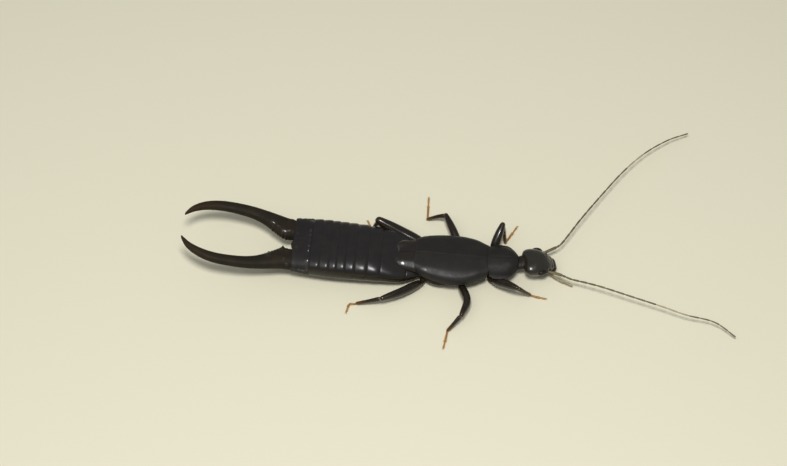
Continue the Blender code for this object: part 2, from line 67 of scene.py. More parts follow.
def addCamera():
    bpy.ops.object.camera_add(**aimed(viewLook["azimuth"], viewLook["elevation"], viewLook["distance"]))
    camera = bpy.context.object
    camera.name = "photoView"
    camera.data.lens, camera.data.sensor_width = viewLook["lens"], viewLook["sensor"]
    camera.data.clip_start, camera.data.clip_end = viewLook["clipStart"], viewLook["clipEnd"]
    bpy.context.scene.camera = camera


addCamera()
print("camera placed")


# Modelling helpers

def clearSelection():
    if bpy.context.object and bpy.context.object.mode != "OBJECT":
        bpy.ops.object.mode_set(mode="OBJECT")
    bpy.ops.object.select_all(action="DESELECT")


def pick(piece):
    clearSelection()
    piece.select_set(True)
    bpy.context.view_layer.objects.active = piece


def smoothAt(stations, place):
    # columns after the first, read on a smooth curve through the stations
    rows = sorted(stations)
    low = max(i for i in range(len(rows) - 1) if i == 0 or rows[i][0] <= place)
    before, start, end = rows[max(low - 1, 0)], rows[low], rows[low + 1]
    after = rows[min(low + 2, len(rows) - 1)]
    span = end[0] - start[0]
    t = min(max((place - start[0]) / span, 0.0), 1.0)
    values = []
    for column in range(1, len(start)):
        slopeIn = (end[column] - before[column]) / (end[0] - before[0])
        slopeOut = (after[column] - start[column]) / (after[0] - start[0])
        values.append((2 * t**3 - 3 * t**2 + 1) * start[column] + (t**3 - 2 * t**2 + t) * slopeIn * span
                      + (3 * t**2 - 2 * t**3) * end[column] + (t**3 - t**2) * slopeOut * span)
    return values


def smoothRoute(points, steps):
    # evenly spaced points on a smooth curve through a few
    points = [Vector(p) for p in points]
    lengths = [0.0]
    for start, end in zip(points, points[1:]):
        lengths.append(lengths[-1] + (end - start).length)
    stations = [(length, *point) for length, point in zip(lengths, points)]
    return [Vector(smoothAt(stations, lengths[-1] * i / steps)) for i in range(steps + 1)]


def bump(distance, width):
    # a soft hump, 1 at its middle and nearly 0 at its width
    return math.exp(-3.0 * (distance / width) ** 2)


def ease(value, start, end):
    t = min(max((value - start) / (end - start), 0.0), 1.0)
    return t * t * (3 - 2 * t)


toLeft, upward = Vector((0, 1, 0)), Vector((0, 0, 1))
bothSides = (("left", 1), ("right", -1))


def squared(value, power):
    return math.copysign(abs(value) ** (2 / power), value)


def markAlong(piece, values, name="along"):
    # a number on each point for the materials to read
    layer = piece.data.attributes.get(name) or piece.data.attributes.new(name, "FLOAT", "POINT")
    layer.data.foreach_set("value", values)


def addPlate(name, columns, rows, place, flip=False, marks=()):
    # a grid bent to a shape: place(u, v) gives a point for u and v from 0 to 1, marks are (name, value(u, v))
    clearSelection()
    bpy.ops.mesh.primitive_grid_add(x_subdivisions=columns, y_subdivisions=rows, size=2)
    plate = bpy.context.object
    plate.name = name
    shares = [((v.co.x + 1) / 2, (v.co.y + 1) / 2) for v in plate.data.vertices]
    for vertex, (u, v) in zip(plate.data.vertices, shares):
        vertex.co = place(u, v)
    markAlong(plate, [u for u, v in shares])
    markAlong(plate, [abs(2 * v - 1) for u, v in shares], "aside")
    for mark, value in marks:
        markAlong(plate, [value(u, v) for u, v in shares], mark)
    if flip:
        bpy.ops.object.mode_set(mode="EDIT")
        bpy.ops.mesh.select_all(action="SELECT")
        bpy.ops.mesh.flip_normals()
        bpy.ops.object.mode_set(mode="OBJECT")
    return plate


def thicken(piece, thickness, rim=0.0):
    # a wall grown inwards, with a rounded rim
    pick(piece)
    wall = piece.modifiers.new("wall", "SOLIDIFY")
    wall.thickness, wall.offset = thickness, -1.0
    bpy.ops.object.modifier_apply(modifier=wall.name)
    if rim:
        edge = piece.modifiers.new("rim", "BEVEL")
        edge.width, edge.segments = rim, 2
        edge.limit_method, edge.angle_limit = "ANGLE", math.radians(50)
        bpy.ops.object.modifier_apply(modifier=edge.name)
    soften(piece, 1)


def soften(piece, levels):
    if levels:
        pick(piece)
        smooth = piece.modifiers.new("soft", "SUBSURF")
        smooth.levels = smooth.render_levels = levels
        bpy.ops.object.modifier_apply(modifier=smooth.name)


def addRings(name, rings, sides, power=2.0):
    # a closed tube through rings of (middle, across, above, half width, half height)
    clearSelection()
    bpy.ops.mesh.primitive_circle_add(vertices=sides, radius=1)
    piece = bpy.context.object
    piece.name = name
    bpy.ops.object.mode_set(mode="EDIT")
    bpy.ops.mesh.select_all(action="SELECT")
    for _ in rings[1:]:
        bpy.ops.mesh.extrude_edges_move(TRANSFORM_OT_translate={"value": (0, 0, 1)})
    bpy.ops.mesh.select_all(action="SELECT")
    bpy.ops.mesh.fill_holes(sides=0)
    bpy.ops.object.mode_set(mode="OBJECT")
    lengths = [0.0]
    for near, far in zip(rings, rings[1:]):
        lengths.append(lengths[-1] + (far[0] - near[0]).length)
    shares = []
    for vertex in piece.data.vertices:
        number = round(vertex.co.z)
        centre, across, above, halfWidth, halfHeight = rings[number]
        c, s = squared(vertex.co.x, power), squared(vertex.co.y, power)
        vertex.co = centre + across * halfWidth * c + above * halfHeight * s
        shares.append(lengths[number] / lengths[-1])
    markAlong(piece, shares)
    bpy.ops.object.mode_set(mode="EDIT")
    bpy.ops.mesh.select_all(action="SELECT")
    bpy.ops.mesh.normals_make_consistent(inside=False)
    bpy.ops.object.mode_set(mode="OBJECT")
    return piece


def routeRings(route, widths, heights, capSteps=3):
    # rings across a route, turned with it, with rounded ends
    last = len(route) - 1
    ways = [(route[min(i + 1, last)] - route[max(i - 1, 0)]).normalized() for i in range(last + 1)]
    across = upward.cross(ways[0]).normalized()
    frames = []
    for way in ways:
        across = (across - way * across.dot(way)).normalized()
        frames.append((across, way.cross(across)))
    rings = [(point, a, b, w, h) for point, (a, b), w, h in zip(route, frames, widths, heights)]
    ends = []
    for end, way in ((0, -ways[0]), (-1, ways[-1])):
        centre, a, b, w, h = rings[end]
        steps = [math.radians(90) * (k + 1) / (capSteps + 0.6) for k in range(capSteps)]
        ends.append([(centre + way * min(w, h) * math.sin(s), a, b, w * math.cos(s), h * math.cos(s))
                     for s in steps])
    return ends[0][::-1] + rings + ends[1]


def carve(piece, depth):
    # moves every point along its normal by depth(point)
    piece.data.update()
    moves = [(vertex.co.copy(), vertex.normal.copy()) for vertex in piece.data.vertices]
    for vertex, (point, normal) in zip(piece.data.vertices, moves):
        vertex.co = point + normal * depth(point)
    piece.data.update()


def finishPiece(piece, finish, nodes=(), levels=0, sharp=50):
    # to metres in the model's frame, with its finish, its body and the solids that it stands for
    soften(piece, levels)
    pick(piece)
    piece.scale = (mm, mm, mm)
    piece.location = -frameOrigin * mm
    bpy.ops.object.transform_apply(location=True, rotation=True, scale=True)
    bpy.ops.object.shade_smooth_by_angle(angle=math.radians(sharp))
    piece.data.name = piece.name
    piece.data.materials.clear()
    piece.data.materials.append(finishes[finish])
    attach(piece, "root")
    if nodes:
        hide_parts(*nodes)


def limbPiece(name, route, widths, finish, nodes=(), heights=None, sides=20, power=2.0, capSteps=3, levels=1):
    # a round-ended piece along a route
    rings = routeRings(route, widths, heights or widths, capSteps)
    finishPiece(addRings(name, rings, sides, power), finish, nodes, levels)


# Shader groups that several finishes share

def newGroup(name, inputs, outputs):
    group = bpy.data.node_groups.new(name, "ShaderNodeTree")
    for label, kind, value in inputs:
        socket = group.interface.new_socket(label, in_out="INPUT", socket_type=kind)
        if value is not None:
            socket.default_value = value
    for label, kind in outputs:
        group.interface.new_socket(label, in_out="OUTPUT", socket_type=kind)
    return group, group.nodes.new("NodeGroupInput"), group.nodes.new("NodeGroupOutput")


def plug(tree, socket, value):
    # a number, a colour or another node's output into a socket
    if isinstance(value, tuple):
        socket.default_value = (*value, 1.0)
    elif isinstance(value, (int, float)):
        socket.default_value = value
    else:
        tree.links.new(value, socket)


def mathNode(tree, operation, first, second, clamp=False):
    node = tree.nodes.new("ShaderNodeMath")
    node.operation, node.use_clamp = operation, clamp
    plug(tree, node.inputs[0], first)
    plug(tree, node.inputs[1], second)
    return node.outputs[0]


def mixColour(tree, share, first, second):
    node = tree.nodes.new("ShaderNodeMix")
    node.data_type = "RGBA"
    for socket, value in ((0, share), (6, first), (7, second)):
        plug(tree, node.inputs[socket], value)
    return node.outputs[2]


def rangeNode(tree, value, low, high, toLow=0.0, toHigh=1.0):
    node = tree.nodes.new("ShaderNodeMapRange")
    node.interpolation_type = "SMOOTHSTEP"
    given = {"Value": value, "From Min": low, "From Max": high, "To Min": toLow, "To Max": toHigh}
    for label, number in given.items():
        plug(tree, node.inputs[label], number)
    return node.outputs["Result"]


def noiseNode(tree, place, scale, detail=3.0, rough=0.5):
    node = tree.nodes.new("ShaderNodeTexNoise")
    for label, value in (("Vector", place), ("Scale", scale), ("Detail", detail), ("Roughness", rough)):
        plug(tree, node.inputs[label], value)
    return node.outputs["Fac"]


def cellNode(tree, place, scale, feature="F1"):
    node = tree.nodes.new("ShaderNodeTexVoronoi")
    node.feature = feature
    plug(tree, node.inputs["Vector"], place)
    plug(tree, node.inputs["Scale"], scale)
    return node.outputs["Distance"]


def makeGrainGroup():
    # fine leathery cells, small pits and a slow unevenness, all in millimetres
    group, given, result = newGroup("shellGrain", (
        ("Place", "NodeSocketVector", None), ("Cells per mm", "NodeSocketFloat", 28.0),
        ("Pits per mm", "NodeSocketFloat", 7.0), ("Pit depth", "NodeSocketFloat", 0.6),
        ("Waves", "NodeSocketFloat", 0.5)), (("Height", "NodeSocketFloat"), ("Pits", "NodeSocketFloat")))
    place = given.outputs["Place"]
    cells = cellNode(group, place, given.outputs["Cells per mm"], "DISTANCE_TO_EDGE")
    raised = rangeNode(group, cells, 0.0, 0.22)
    pits = rangeNode(group, cellNode(group, place, given.outputs["Pits per mm"]), 0.12, 0.30, 1.0, 0.0)
    slow = noiseNode(group, place, 2.6, 2.0)
    height = mathNode(group, "ADD", mathNode(group, "MULTIPLY", raised, 0.22),
                      mathNode(group, "MULTIPLY", slow, given.outputs["Waves"]))
    sunk = mathNode(group, "MULTIPLY", pits, given.outputs["Pit depth"])
    height = mathNode(group, "SUBTRACT", height, sunk)
    group.links.new(height, result.inputs["Height"])
    group.links.new(pits, result.inputs["Pits"])
    return group


def makeTintGroup():
    # base colour that drifts to a second one in blotches, and to a third along a given share: where a thin
    # edge lets light in, and as a painted floor reflection on the abdomen's lower flanks and a painted
    # highlight where the wing tips meet
    group, given, result = newGroup("shellTint", (
        ("Place", "NodeSocketVector", None), ("Base", "NodeSocketColor", None),
        ("Blotch", "NodeSocketColor", None), ("Edge", "NodeSocketColor", None),
        ("Edge share", "NodeSocketFloat", 0.0), ("Blotches per mm", "NodeSocketFloat", 1.5)),
        (("Colour", "NodeSocketColor"),))
    noise = noiseNode(group, given.outputs["Place"], given.outputs["Blotches per mm"], 4.0, 0.55)
    blotched = rangeNode(group, noise, 0.35, 0.70)
    colour = mixColour(group, blotched, given.outputs["Base"], given.outputs["Blotch"])
    fine = noiseNode(group, given.outputs["Place"], 14.0, 2.0)
    broken = rangeNode(group, fine, 0.2, 0.7, 0.6, 1.0)
    share = mathNode(group, "MULTIPLY", given.outputs["Edge share"], broken)
    group.links.new(mixColour(group, share, colour, given.outputs["Edge"]), result.inputs["Colour"])
    return group


def makePolishGroup():
    # roughness between two values, duller in the pits and in slow patches
    group, given, result = newGroup("shellPolish", (
        ("Place", "NodeSocketVector", None), ("Smooth", "NodeSocketFloat", 0.25),
        ("Dull", "NodeSocketFloat", 0.5), ("Pits", "NodeSocketFloat", 0.0)),
        (("Roughness", "NodeSocketFloat"),))
    patches = rangeNode(group, noiseNode(group, given.outputs["Place"], 3.4, 4.0, 0.6), 0.30, 0.72)
    share = mathNode(group, "ADD", mathNode(group, "MULTIPLY", patches, 0.8),
                     mathNode(group, "MULTIPLY", given.outputs["Pits"], 0.5), clamp=True)
    low, high = given.outputs["Smooth"], given.outputs["Dull"]
    rise = mathNode(group, "MULTIPLY", share, mathNode(group, "SUBTRACT", high, low))
    value = mathNode(group, "ADD", low, rise)
    group.links.new(value, result.inputs["Roughness"])
    return group


grainGroup, tintGroup, polishGroup = makeGrainGroup(), makeTintGroup(), makePolishGroup()


def placeGroup(tree, group, **values):
    node = tree.nodes.new("ShaderNodeGroup")
    node.node_tree = group
    for label, value in values.items():
        plug(tree, node.inputs[label.replace("_", " ")], value)
    return node


def makeShell(name, look):
    # one hard, dark skin; a named attribute shifts it to its edge colour towards an edge or an end, and on
    # the abdomen's lower flanks that colour is a painted reflection, where the wing tips meet a painted
    # highlight
    made = bpy.data.materials.new(name)
    made.use_nodes = True
    tree = made.node_tree
    shader = tree.nodes["Principled BSDF"]
    coordinates = tree.nodes.new("ShaderNodeTexCoord")
    toMillimetres = tree.nodes.new("ShaderNodeMapping")
    toMillimetres.inputs["Scale"].default_value = (1 / mm,) * 3
    tree.links.new(coordinates.outputs["Object"], toMillimetres.inputs["Vector"])
    place = toMillimetres.outputs["Vector"]
    # the edge share below also lays a painted reflection and a painted highlight on two finishes
    edge = 0.0
    if look.get("edgeAndSheenBy"):
        layer = tree.nodes.new("ShaderNodeAttribute")
        layer.attribute_name = look["edgeAndSheenBy"]
        edge = rangeNode(tree, layer.outputs["Fac"], *look["edgeAndSheenRange"])
        edge = mathNode(tree, "MULTIPLY", edge, look["edgeAndSheenMost"])
    grain = placeGroup(tree, grainGroup, Place=place, Cells_per_mm=look["cells"], Pits_per_mm=look["pits"],
                       Pit_depth=look["pitDepth"], Waves=look["waves"])
    tint = placeGroup(tree, tintGroup, Place=place, Base=look["base"], Blotch=look["blotch"],
                      Edge=look["edge"], Edge_share=edge, Blotches_per_mm=look["blotches"])
    polish = placeGroup(tree, polishGroup, Place=place, Smooth=look["smooth"], Dull=look["dull"],
                        Pits=grain.outputs["Pits"])
    relief = tree.nodes.new("ShaderNodeBump")
    relief.inputs["Strength"].default_value = 1.0
    relief.inputs["Distance"].default_value = look["relief"] * mm
    tree.links.new(grain.outputs["Height"], relief.inputs["Height"])
    tree.links.new(tint.outputs["Colour"], shader.inputs["Base Color"])
    roughness = polish.outputs["Roughness"]
    if look.get("gloss"):
        # polished where the attribute "gloss" says so
        shine = tree.nodes.new("ShaderNodeAttribute")
        shine.attribute_name = "gloss"
        roughness = rangeNode(tree, shine.outputs["Fac"], 0.0, 1.0, roughness, look["gloss"])
        coat = rangeNode(tree, shine.outputs["Fac"], 0.0, 1.0, look["coat"], look["glossCoat"])
        tree.links.new(coat, shader.inputs["Coat Weight"])
    tree.links.new(roughness, shader.inputs["Roughness"])
    tree.links.new(relief.outputs["Normal"], shader.inputs["Normal"])
    shader.inputs["Coat Weight"].default_value = look["coat"]
    shader.inputs["Coat Roughness"].default_value = look["coatRoughness"]
    shader.inputs["Specular IOR Level"].default_value = look["specular"]
    return made


# What a user would change in the finishes: colours, roughness from smooth to dull, relief in millimetres, and
# the name of a slot. What a finish doesn't say comes from commonShell
commonShell = dict(
    blotches=2.5, cells=26.0, pits=10.0, pitDepth=0.3, waves=0.5, relief=0.003, specular=0.5, coat=0.0,
    coatRoughness=0.1)
shellLooks = {
    # ringShell's edge colour, darker and yellower on the lower flanks, is a painted reflection of a yellow
    # floor
    "ringShell": dict(
        slot="shell_black", base=(0.0165, 0.0150, 0.0145), blotch=(0.0215, 0.0185, 0.0170),
        edge=(0.0130, 0.0100, 0.0030), edgeAndSheenBy="aside", edgeAndSheenRange=(0.50, 0.70), edgeAndSheenMost=1.0, blotches=1.2,
        pits=6.5, pitDepth=0.12, waves=0.12, relief=0.0005, smooth=0.24, dull=0.28, specular=0.34,
        coatRoughness=0.18, gloss=0.20, glossCoat=0.6),
    "coverShell": dict(
        slot="shell_black", base=(0.0135, 0.0120, 0.0105), blotch=(0.0185, 0.0150, 0.0120),
        edge=(0.036, 0.021, 0.011), edgeAndSheenBy="along", edgeAndSheenRange=(0.96, 1.0), edgeAndSheenMost=0.15, blotches=0.9,
        cells=22.0, pits=8.0, pitDepth=0.40, relief=0.004, smooth=0.42, dull=0.56, specular=0.34,
        coatRoughness=0.16, gloss=0.20, glossCoat=0.6),
    # tipShell's pinkish edge colour, laid near the seam of the wing tips, is a painted highlight
    "tipShell": dict(
        slot="shell_black", base=(0.0150, 0.0125, 0.0105), blotch=(0.020, 0.0155, 0.0115),
        edge=(0.50, 0.34, 0.29), edgeAndSheenBy="pale", edgeAndSheenRange=(0.0, 1.0), edgeAndSheenMost=0.90, blotches=1.6,
        cells=24.0, pits=7.0, relief=0.002, smooth=0.38, dull=0.52, specular=0.34, coatRoughness=0.16,
        gloss=0.18, glossCoat=0.9),
    "shieldShell": dict(
        slot="shell_black", base=(0.0130, 0.0120, 0.0105), blotch=(0.0180, 0.0150, 0.0115),
        edge=(0.030, 0.018, 0.010), edgeAndSheenBy="aside", edgeAndSheenRange=(0.90, 1.0), edgeAndSheenMost=0.6, blotches=1.1,
        pits=9.0, pitDepth=0.35, relief=0.006, smooth=0.52, dull=0.66, specular=0.26),
    "eyeShell": dict(
        slot="eye_black", base=(0.010, 0.008, 0.007), blotch=(0.016, 0.011, 0.008),
        edge=(0.02, 0.015, 0.01), cells=40.0, pits=20.0, pitDepth=0.0, waves=0.2, relief=0.001,
        smooth=0.30, dull=0.42, specular=0.30),
    "pincerShell": dict(
        slot="gloss_black", base=(0.0170, 0.0140, 0.0085), blotch=(0.0250, 0.0185, 0.0100),
        edge=(0.060, 0.030, 0.010), edgeAndSheenBy="along", edgeAndSheenRange=(0.55, 1.0), edgeAndSheenMost=0.45, blotches=0.9,
        cells=20.0, pits=6.0, waves=0.6, relief=0.005, smooth=0.55, dull=0.70, specular=0.14,
        coatRoughness=0.24, gloss=0.26, glossCoat=1.0),
    "bellyShell": dict(
        slot="underside_brown", base=(0.017, 0.0120, 0.0060), blotch=(0.028, 0.019, 0.009),
        edge=(0.07, 0.042, 0.02), edgeAndSheenBy="along", edgeAndSheenRange=(0.85, 1.0), edgeAndSheenMost=0.5, blotches=1.3,
        cells=24.0, pits=7.0, pitDepth=0.35, relief=0.008, smooth=0.50, dull=0.64, specular=0.12),
    "softSkin": dict(
        slot="underside_brown", base=(0.016, 0.012, 0.009), blotch=(0.024, 0.017, 0.012),
        edge=(0.12, 0.09, 0.06), cells=20.0, pits=14.0, waves=0.6, relief=0.006, smooth=0.42, dull=0.62,
        specular=0.3),
    # kneeSkin's pale colour is partly the joint skin's own and partly a painted highlight of the knees
    "kneeSkin": dict(
        slot="underside_brown", base=(0.17, 0.115, 0.060), blotch=(0.055, 0.032, 0.015),
        edge=(0.3, 0.2, 0.1), blotches=5.0, cells=18.0, pits=12.0, pitDepth=0.4, waves=0.6, relief=0.006,
        smooth=0.30, dull=0.50),
    "legShell": dict(
        slot="gloss_black", base=(0.0120, 0.0090, 0.0060), blotch=(0.020, 0.0135, 0.0070),
        edge=(0.055, 0.026, 0.009), edgeAndSheenBy="along", edgeAndSheenRange=(0.80, 1.0), edgeAndSheenMost=0.45, blotches=2.0,
        pits=9.0, pitDepth=0.2, waves=0.4, relief=0.0015, smooth=0.18, dull=0.30, specular=0.30, coat=0.35,
        coatRoughness=0.14),
    "shinShell": dict(
        slot="gloss_black", base=(0.0180, 0.0115, 0.0060), blotch=(0.030, 0.018, 0.0080),
        edge=(0.15, 0.066, 0.014), edgeAndSheenBy="along", edgeAndSheenRange=(0.40, 1.0), edgeAndSheenMost=0.75, pitDepth=0.2,
        waves=0.4, relief=0.0015, smooth=0.24, dull=0.36, specular=0.30, coat=0.2, coatRoughness=0.16),
    "footShell": dict(
        slot="foot_amber", base=(0.30, 0.135, 0.024), blotch=(0.38, 0.180, 0.032),
        edge=(0.50, 0.26, 0.060), edgeAndSheenBy="along", edgeAndSheenRange=(0.10, 0.85), edgeAndSheenMost=0.80, blotches=4.0,
        cells=24.0, pitDepth=0.2, waves=0.4, smooth=0.30, dull=0.46, coat=0.20, coatRoughness=0.12),
    "feelerShell": dict(
        slot="feeler_brown", base=(0.115, 0.090, 0.038), blotch=(0.170, 0.135, 0.060),
        edge=(0.52, 0.44, 0.28), edgeAndSheenBy="pale", edgeAndSheenRange=(0.0, 1.0), edgeAndSheenMost=0.90, blotches=2.2,
        cells=30.0, pits=14.0, waves=0.4, smooth=0.36, dull=0.52),
    "palpShell": dict(
        slot="feeler_brown", base=(0.36, 0.29, 0.14), blotch=(0.27, 0.21, 0.095), edge=(0.46, 0.38, 0.20),
        edgeAndSheenBy="along", edgeAndSheenRange=(0.80, 1.0), edgeAndSheenMost=0.6, blotches=2.2, cells=30.0, pits=14.0,
        waves=0.4, smooth=0.36, dull=0.52),
    "socketShell": dict(
        slot="underside_brown", base=(0.045, 0.032, 0.020), blotch=(0.085, 0.060, 0.036),
        edge=(0.16, 0.12, 0.08), blotches=3.0, cells=24.0, relief=0.004, smooth=0.26, dull=0.42, coat=0.2),
    "mouthShell": dict(
        slot="gloss_black", base=(0.016, 0.010, 0.006), blotch=(0.030, 0.016, 0.008),
        edge=(0.07, 0.03, 0.01), edgeAndSheenBy="along", edgeAndSheenRange=(0.60, 1.0), edgeAndSheenMost=0.6, pitDepth=0.2,
        waves=0.4, smooth=0.20, dull=0.34, coat=0.35, coatRoughness=0.08),
    "headShell": dict(
        slot="shell_black", base=(0.0200, 0.0185, 0.0120), blotch=(0.0250, 0.0215, 0.0130),
        edge=(0.05, 0.028, 0.012), blotches=1.6, cells=30.0, pits=9.0, pitDepth=0.35, waves=0.4,
        relief=0.004, smooth=0.24, dull=0.32, specular=0.30, coat=0.7, coatRoughness=0.20),
}
shellLooks["lastRingShell"] = dict(
    shellLooks["ringShell"], smooth=0.46, dull=0.56, specular=0.20, glossCoat=1.0)
finishes = {name: makeShell(name, dict(commonShell, **look)) for name, look in shellLooks.items()}
print("finishes made:", len(finishes))


# Trunk
trunkLook = {
    # x, how far the middle line lies to the left
    "line": ((-14.7, 0.10), (-13.0, 0.07), (-11.0, 0.02), (-9.0, -0.01), (-7.0, -0.03), (-5.1, -0.08),
             (-2.0, -0.10), (0.0, -0.03), (1.2, 0.02), (2.6, 0.03)),
}


def middle(x):
    return smoothAt(trunkLook["line"], x)[0]


def outlineRing(outline, x, off=0.0):
    # an upright ring across the trunk, so far off its outline
    halfWidth, top, bottom = smoothAt(outline, x)
    height = (top - bottom) / 2 + off
    return Vector((x, middle(x), (top + bottom) / 2)), toLeft, upward, halfWidth + off, height


# Abdomen: ten back plates, each tucked under the one before it, and the belly plates
abdomenLook = {
    "edges": (-5.12, -5.92, -7.87, -8.87, -9.80, -10.53, -11.19, -11.77, -12.50, -13.27, -14.70),
    "outline": (
        # x, half width, top, underside
        (-5.1, 1.48, 1.42, 0.44), (-6.0, 1.98, 1.68, 0.38), (-6.6, 2.15, 1.88, 0.35),
        (-7.1, 2.24, 2.06, 0.33), (-7.9, 2.31, 2.30, 0.30), (-8.9, 2.37, 2.48, 0.32),
        (-10.5, 2.42, 2.57, 0.40), (-12.0, 2.43, 2.56, 0.54), (-13.3, 2.38, 2.52, 0.70),
        (-14.7, 2.30, 2.42, 0.98)),
    "squareness": ((-5.1, 2.3), (-8.4, 2.3), (-10.5, 2.5), (-12.5, 2.8), (-14.7, 2.9)),
    "tuck": 0.24, "tuckedEnds": (-0.02, 0.14), "wall": 0.034, "gap": 0.010, "belowSide": 24.0, "sweep": 0.05,
    "swell": 0.024, "sideSwell": 0.050, "sideAt": 0.50, "sideWidth": 0.30, "crest": 0.62,
    "lip": 0.006, "lipEnds": (0.80, 0.93),
}


def ringPoint(x, angle, outwards):
    # a point of the abdomen's outside at x, so many degrees round from the left side over the top
    power = smoothAt(abdomenLook["squareness"], x)[0]
    halfWidth, top, bottom = smoothAt(abdomenLook["outline"], x)
    level, halfHeight = (top + bottom) / 2, (top - bottom) / 2
    c, s = math.cos(math.radians(angle)), math.sin(math.radians(angle))
    y = middle(x) + (halfWidth + outwards) * squared(c, power)
    return Vector((x, y, level + (halfHeight + outwards) * squared(s, power)))


def ringLift(t, length, aside):
    # how far a back plate stands off the outline at the share t of its open length
    look = abdomenLook
    tucked = -(look["wall"] + look["gap"])
    lift = tucked - tucked * ease(t * length, *look["tuckedEnds"])
    side = bump(aside - look["sideAt"], look["sideWidth"])
    swell = look["swell"] + look["sideSwell"] * side
    lift += swell * math.sin(math.pi * min(max(t, 0.0), 1.0) ** look["crest"]) * min(length, 1.0)
    return lift + look["lip"] * ease(t, *look["lipEnds"]) * (1 - min(1.0, 1.4 * side))


def addBackPlate(number, front, rear):
    look = abdomenLook
    length = front - rear
    reach = 90.0 + look["belowSide"]

    def place(u, v):
        x = front + look["tuck"] - (length + look["tuck"]) * u
        t = (front - x) / length
        angle = 90.0 - (2 * v - 1) * reach
        point = ringPoint(x, angle, ringLift(t, length, abs(2 * v - 1)))
        point.x -= look["sweep"] * abs(2 * v - 1) ** 3 * ease(t, 0.4, 1.0)
        return point

    plate = addPlate(f"back_plate_{number}", max(10, round(length * 13)), 56, place, flip=True)
    thicken(plate, look["wall"])
    return plate


def addAbdomen():
    edges = abdomenLook["edges"]
    for number, (front, rear) in enumerate(zip(edges, edges[1:-1]), start=1):
        finishPiece(addBackPlate(number, front, rear), "ringShell", [f"abdomen_{number}"])


addAbdomen()
print("abdomen made")


# Belly plates, the soft skin between the plates and the last ring with its hind rim
bellyLook = {
    "first": 2, "last": 8, "tuck": 0.22, "wall": 0.045, "inset": 0.055, "tucked": 0.05, "swell": 0.02,
    "reach": 15.0, "flap": -14.15, "flapNarrow": 0.30, "flapPoint": 0.45,
}
skinLook = {"front": -4.95, "length": 9.35, "steps": 29, "inset": 0.16, "crease": 0.03, "creaseTurn": 1.9}


def addBellyPlates():
    look, edges = bellyLook, abdomenLook["edges"]
    for number in range(look["first"], look["last"] + 2):
        front, rear = edges[number - 1], edges[number]
        covering = number == look["last"] + 1
        rear = look["flap"] if covering else rear
        length = front - rear

        def place(u, v):
            x = front + look["tuck"] - (length + look["tuck"]) * u
            t = (front - x) / length
            angle = 180.0 + look["reach"] + (180.0 - 2 * look["reach"]) * v
            lift = -look["inset"] - look["tucked"] * (1 - ease(t * length, -0.02, 0.12))
            lift += look["swell"] * math.sin(math.pi * max(t, 0.0))
            narrow = look["flapNarrow"] * ease(t, 0.45, 1.0) ** 2 if covering else 0.0
            point = ringPoint(x, 270.0 + (angle - 270.0) * (1 - narrow), lift)
            point.x += look["flapPoint"] * narrow * abs(2 * v - 1) ** 2
            return point

        plate = addPlate(f"belly_plate_{number}", max(8, round(length * 9)), 36, place, flip=True)
        thicken(plate, look["wall"])
        finishPiece(plate, "bellyShell")


def addAbdomenSkin():
    look = skinLook
    rings = []
    for step in range(look["steps"] + 1):
        inset = look["inset"] + look["crease"] * math.cos(step * look["creaseTurn"])
        x = look["front"] - look["length"] * step / look["steps"]
        rings.append(outlineRing(abdomenLook["outline"], x, -inset))
    finishPiece(addRings("abdomen_skin", rings, 32, 2.3), "softSkin", levels=1)


lastRingLook = {
    "profile": (
        # x, how far off the outline
        (-13.02, -0.065), (-13.20, -0.062), (-13.30, -0.035), (-13.38, 0.000), (-13.55, 0.018),
        (-13.80, 0.022), (-14.05, 0.020), (-14.28, 0.014), (-14.46, 0.016), (-14.58, 0.030),
        (-14.66, 0.022), (-14.70, -0.02), (-14.69, -0.09), (-14.62, -0.14), (-14.46, -0.17),
        (-14.30, -0.19), (-14.22, -0.30), (-14.20, -0.60)),
    "squareness": 2.9, "groove": 0.035, "grooveWidth": 0.20,
    "knobs": (
        # x, distance from the middle, height of the place, height and width of the knob
        (-13.42, 0.04, 2.53, 0.085, 0.21), (-13.43, 0.50, 2.53, 0.085, 0.21),
        (-13.44, 0.90, 2.51, 0.080, 0.20), (-14.42, 0.62, 2.46, 0.050, 0.24),
        (-13.42, 1.74, 2.36, 0.060, 0.40), (-13.46, 2.24, 1.92, 0.120, 0.20),
        (-13.74, 2.26, 1.84, 0.140, 0.20), (-14.02, 2.24, 1.88, 0.120, 0.19),
        (-14.42, 2.18, 1.92, 0.110, 0.19)),
}


def knobLift(point, knobs, centre):
    # small warts, mirrored left and right of the middle line
    lift = 0.0
    for x, aside, z, height, width in knobs:
        distance = math.dist((point.x, abs(point.y - centre), point.z), (x, aside, z))
        if distance < width * 1.6:
            lift += height * bump(distance, width)
    return lift


def addLastRing():
    look = lastRingLook
    rings = [outlineRing(abdomenLook["outline"], x, off) for x, off in look["profile"]]
    ring = addRings("last_back_ring", rings, 72, look["squareness"])
    soften(ring, 2)

    def lift(point):
        upper = ease(point.z, 1.5, 2.0)
        groove = look["groove"] * bump(point.y - middle(point.x), look["grooveWidth"])
        groove *= ease(point.x, -13.45, -13.65) * ease(point.x, -14.68, -14.55)
        return upper * (knobLift(point, look["knobs"], middle(point.x)) - groove)

    knobs, most = look["knobs"], look["knobs"][0][3]
    shine = [min(1.0, knobLift(v.co, knobs, middle(v.co.x)) / most) for v in ring.data.vertices]
    markAlong(ring, shine, "gloss")
    carve(ring, lift)
    finishPiece(ring, "lastRingShell", ["abdomen_10"])


addBellyPlates()
addAbdomenSkin()
addLastRing()
print("abdomen underside and last ring made")


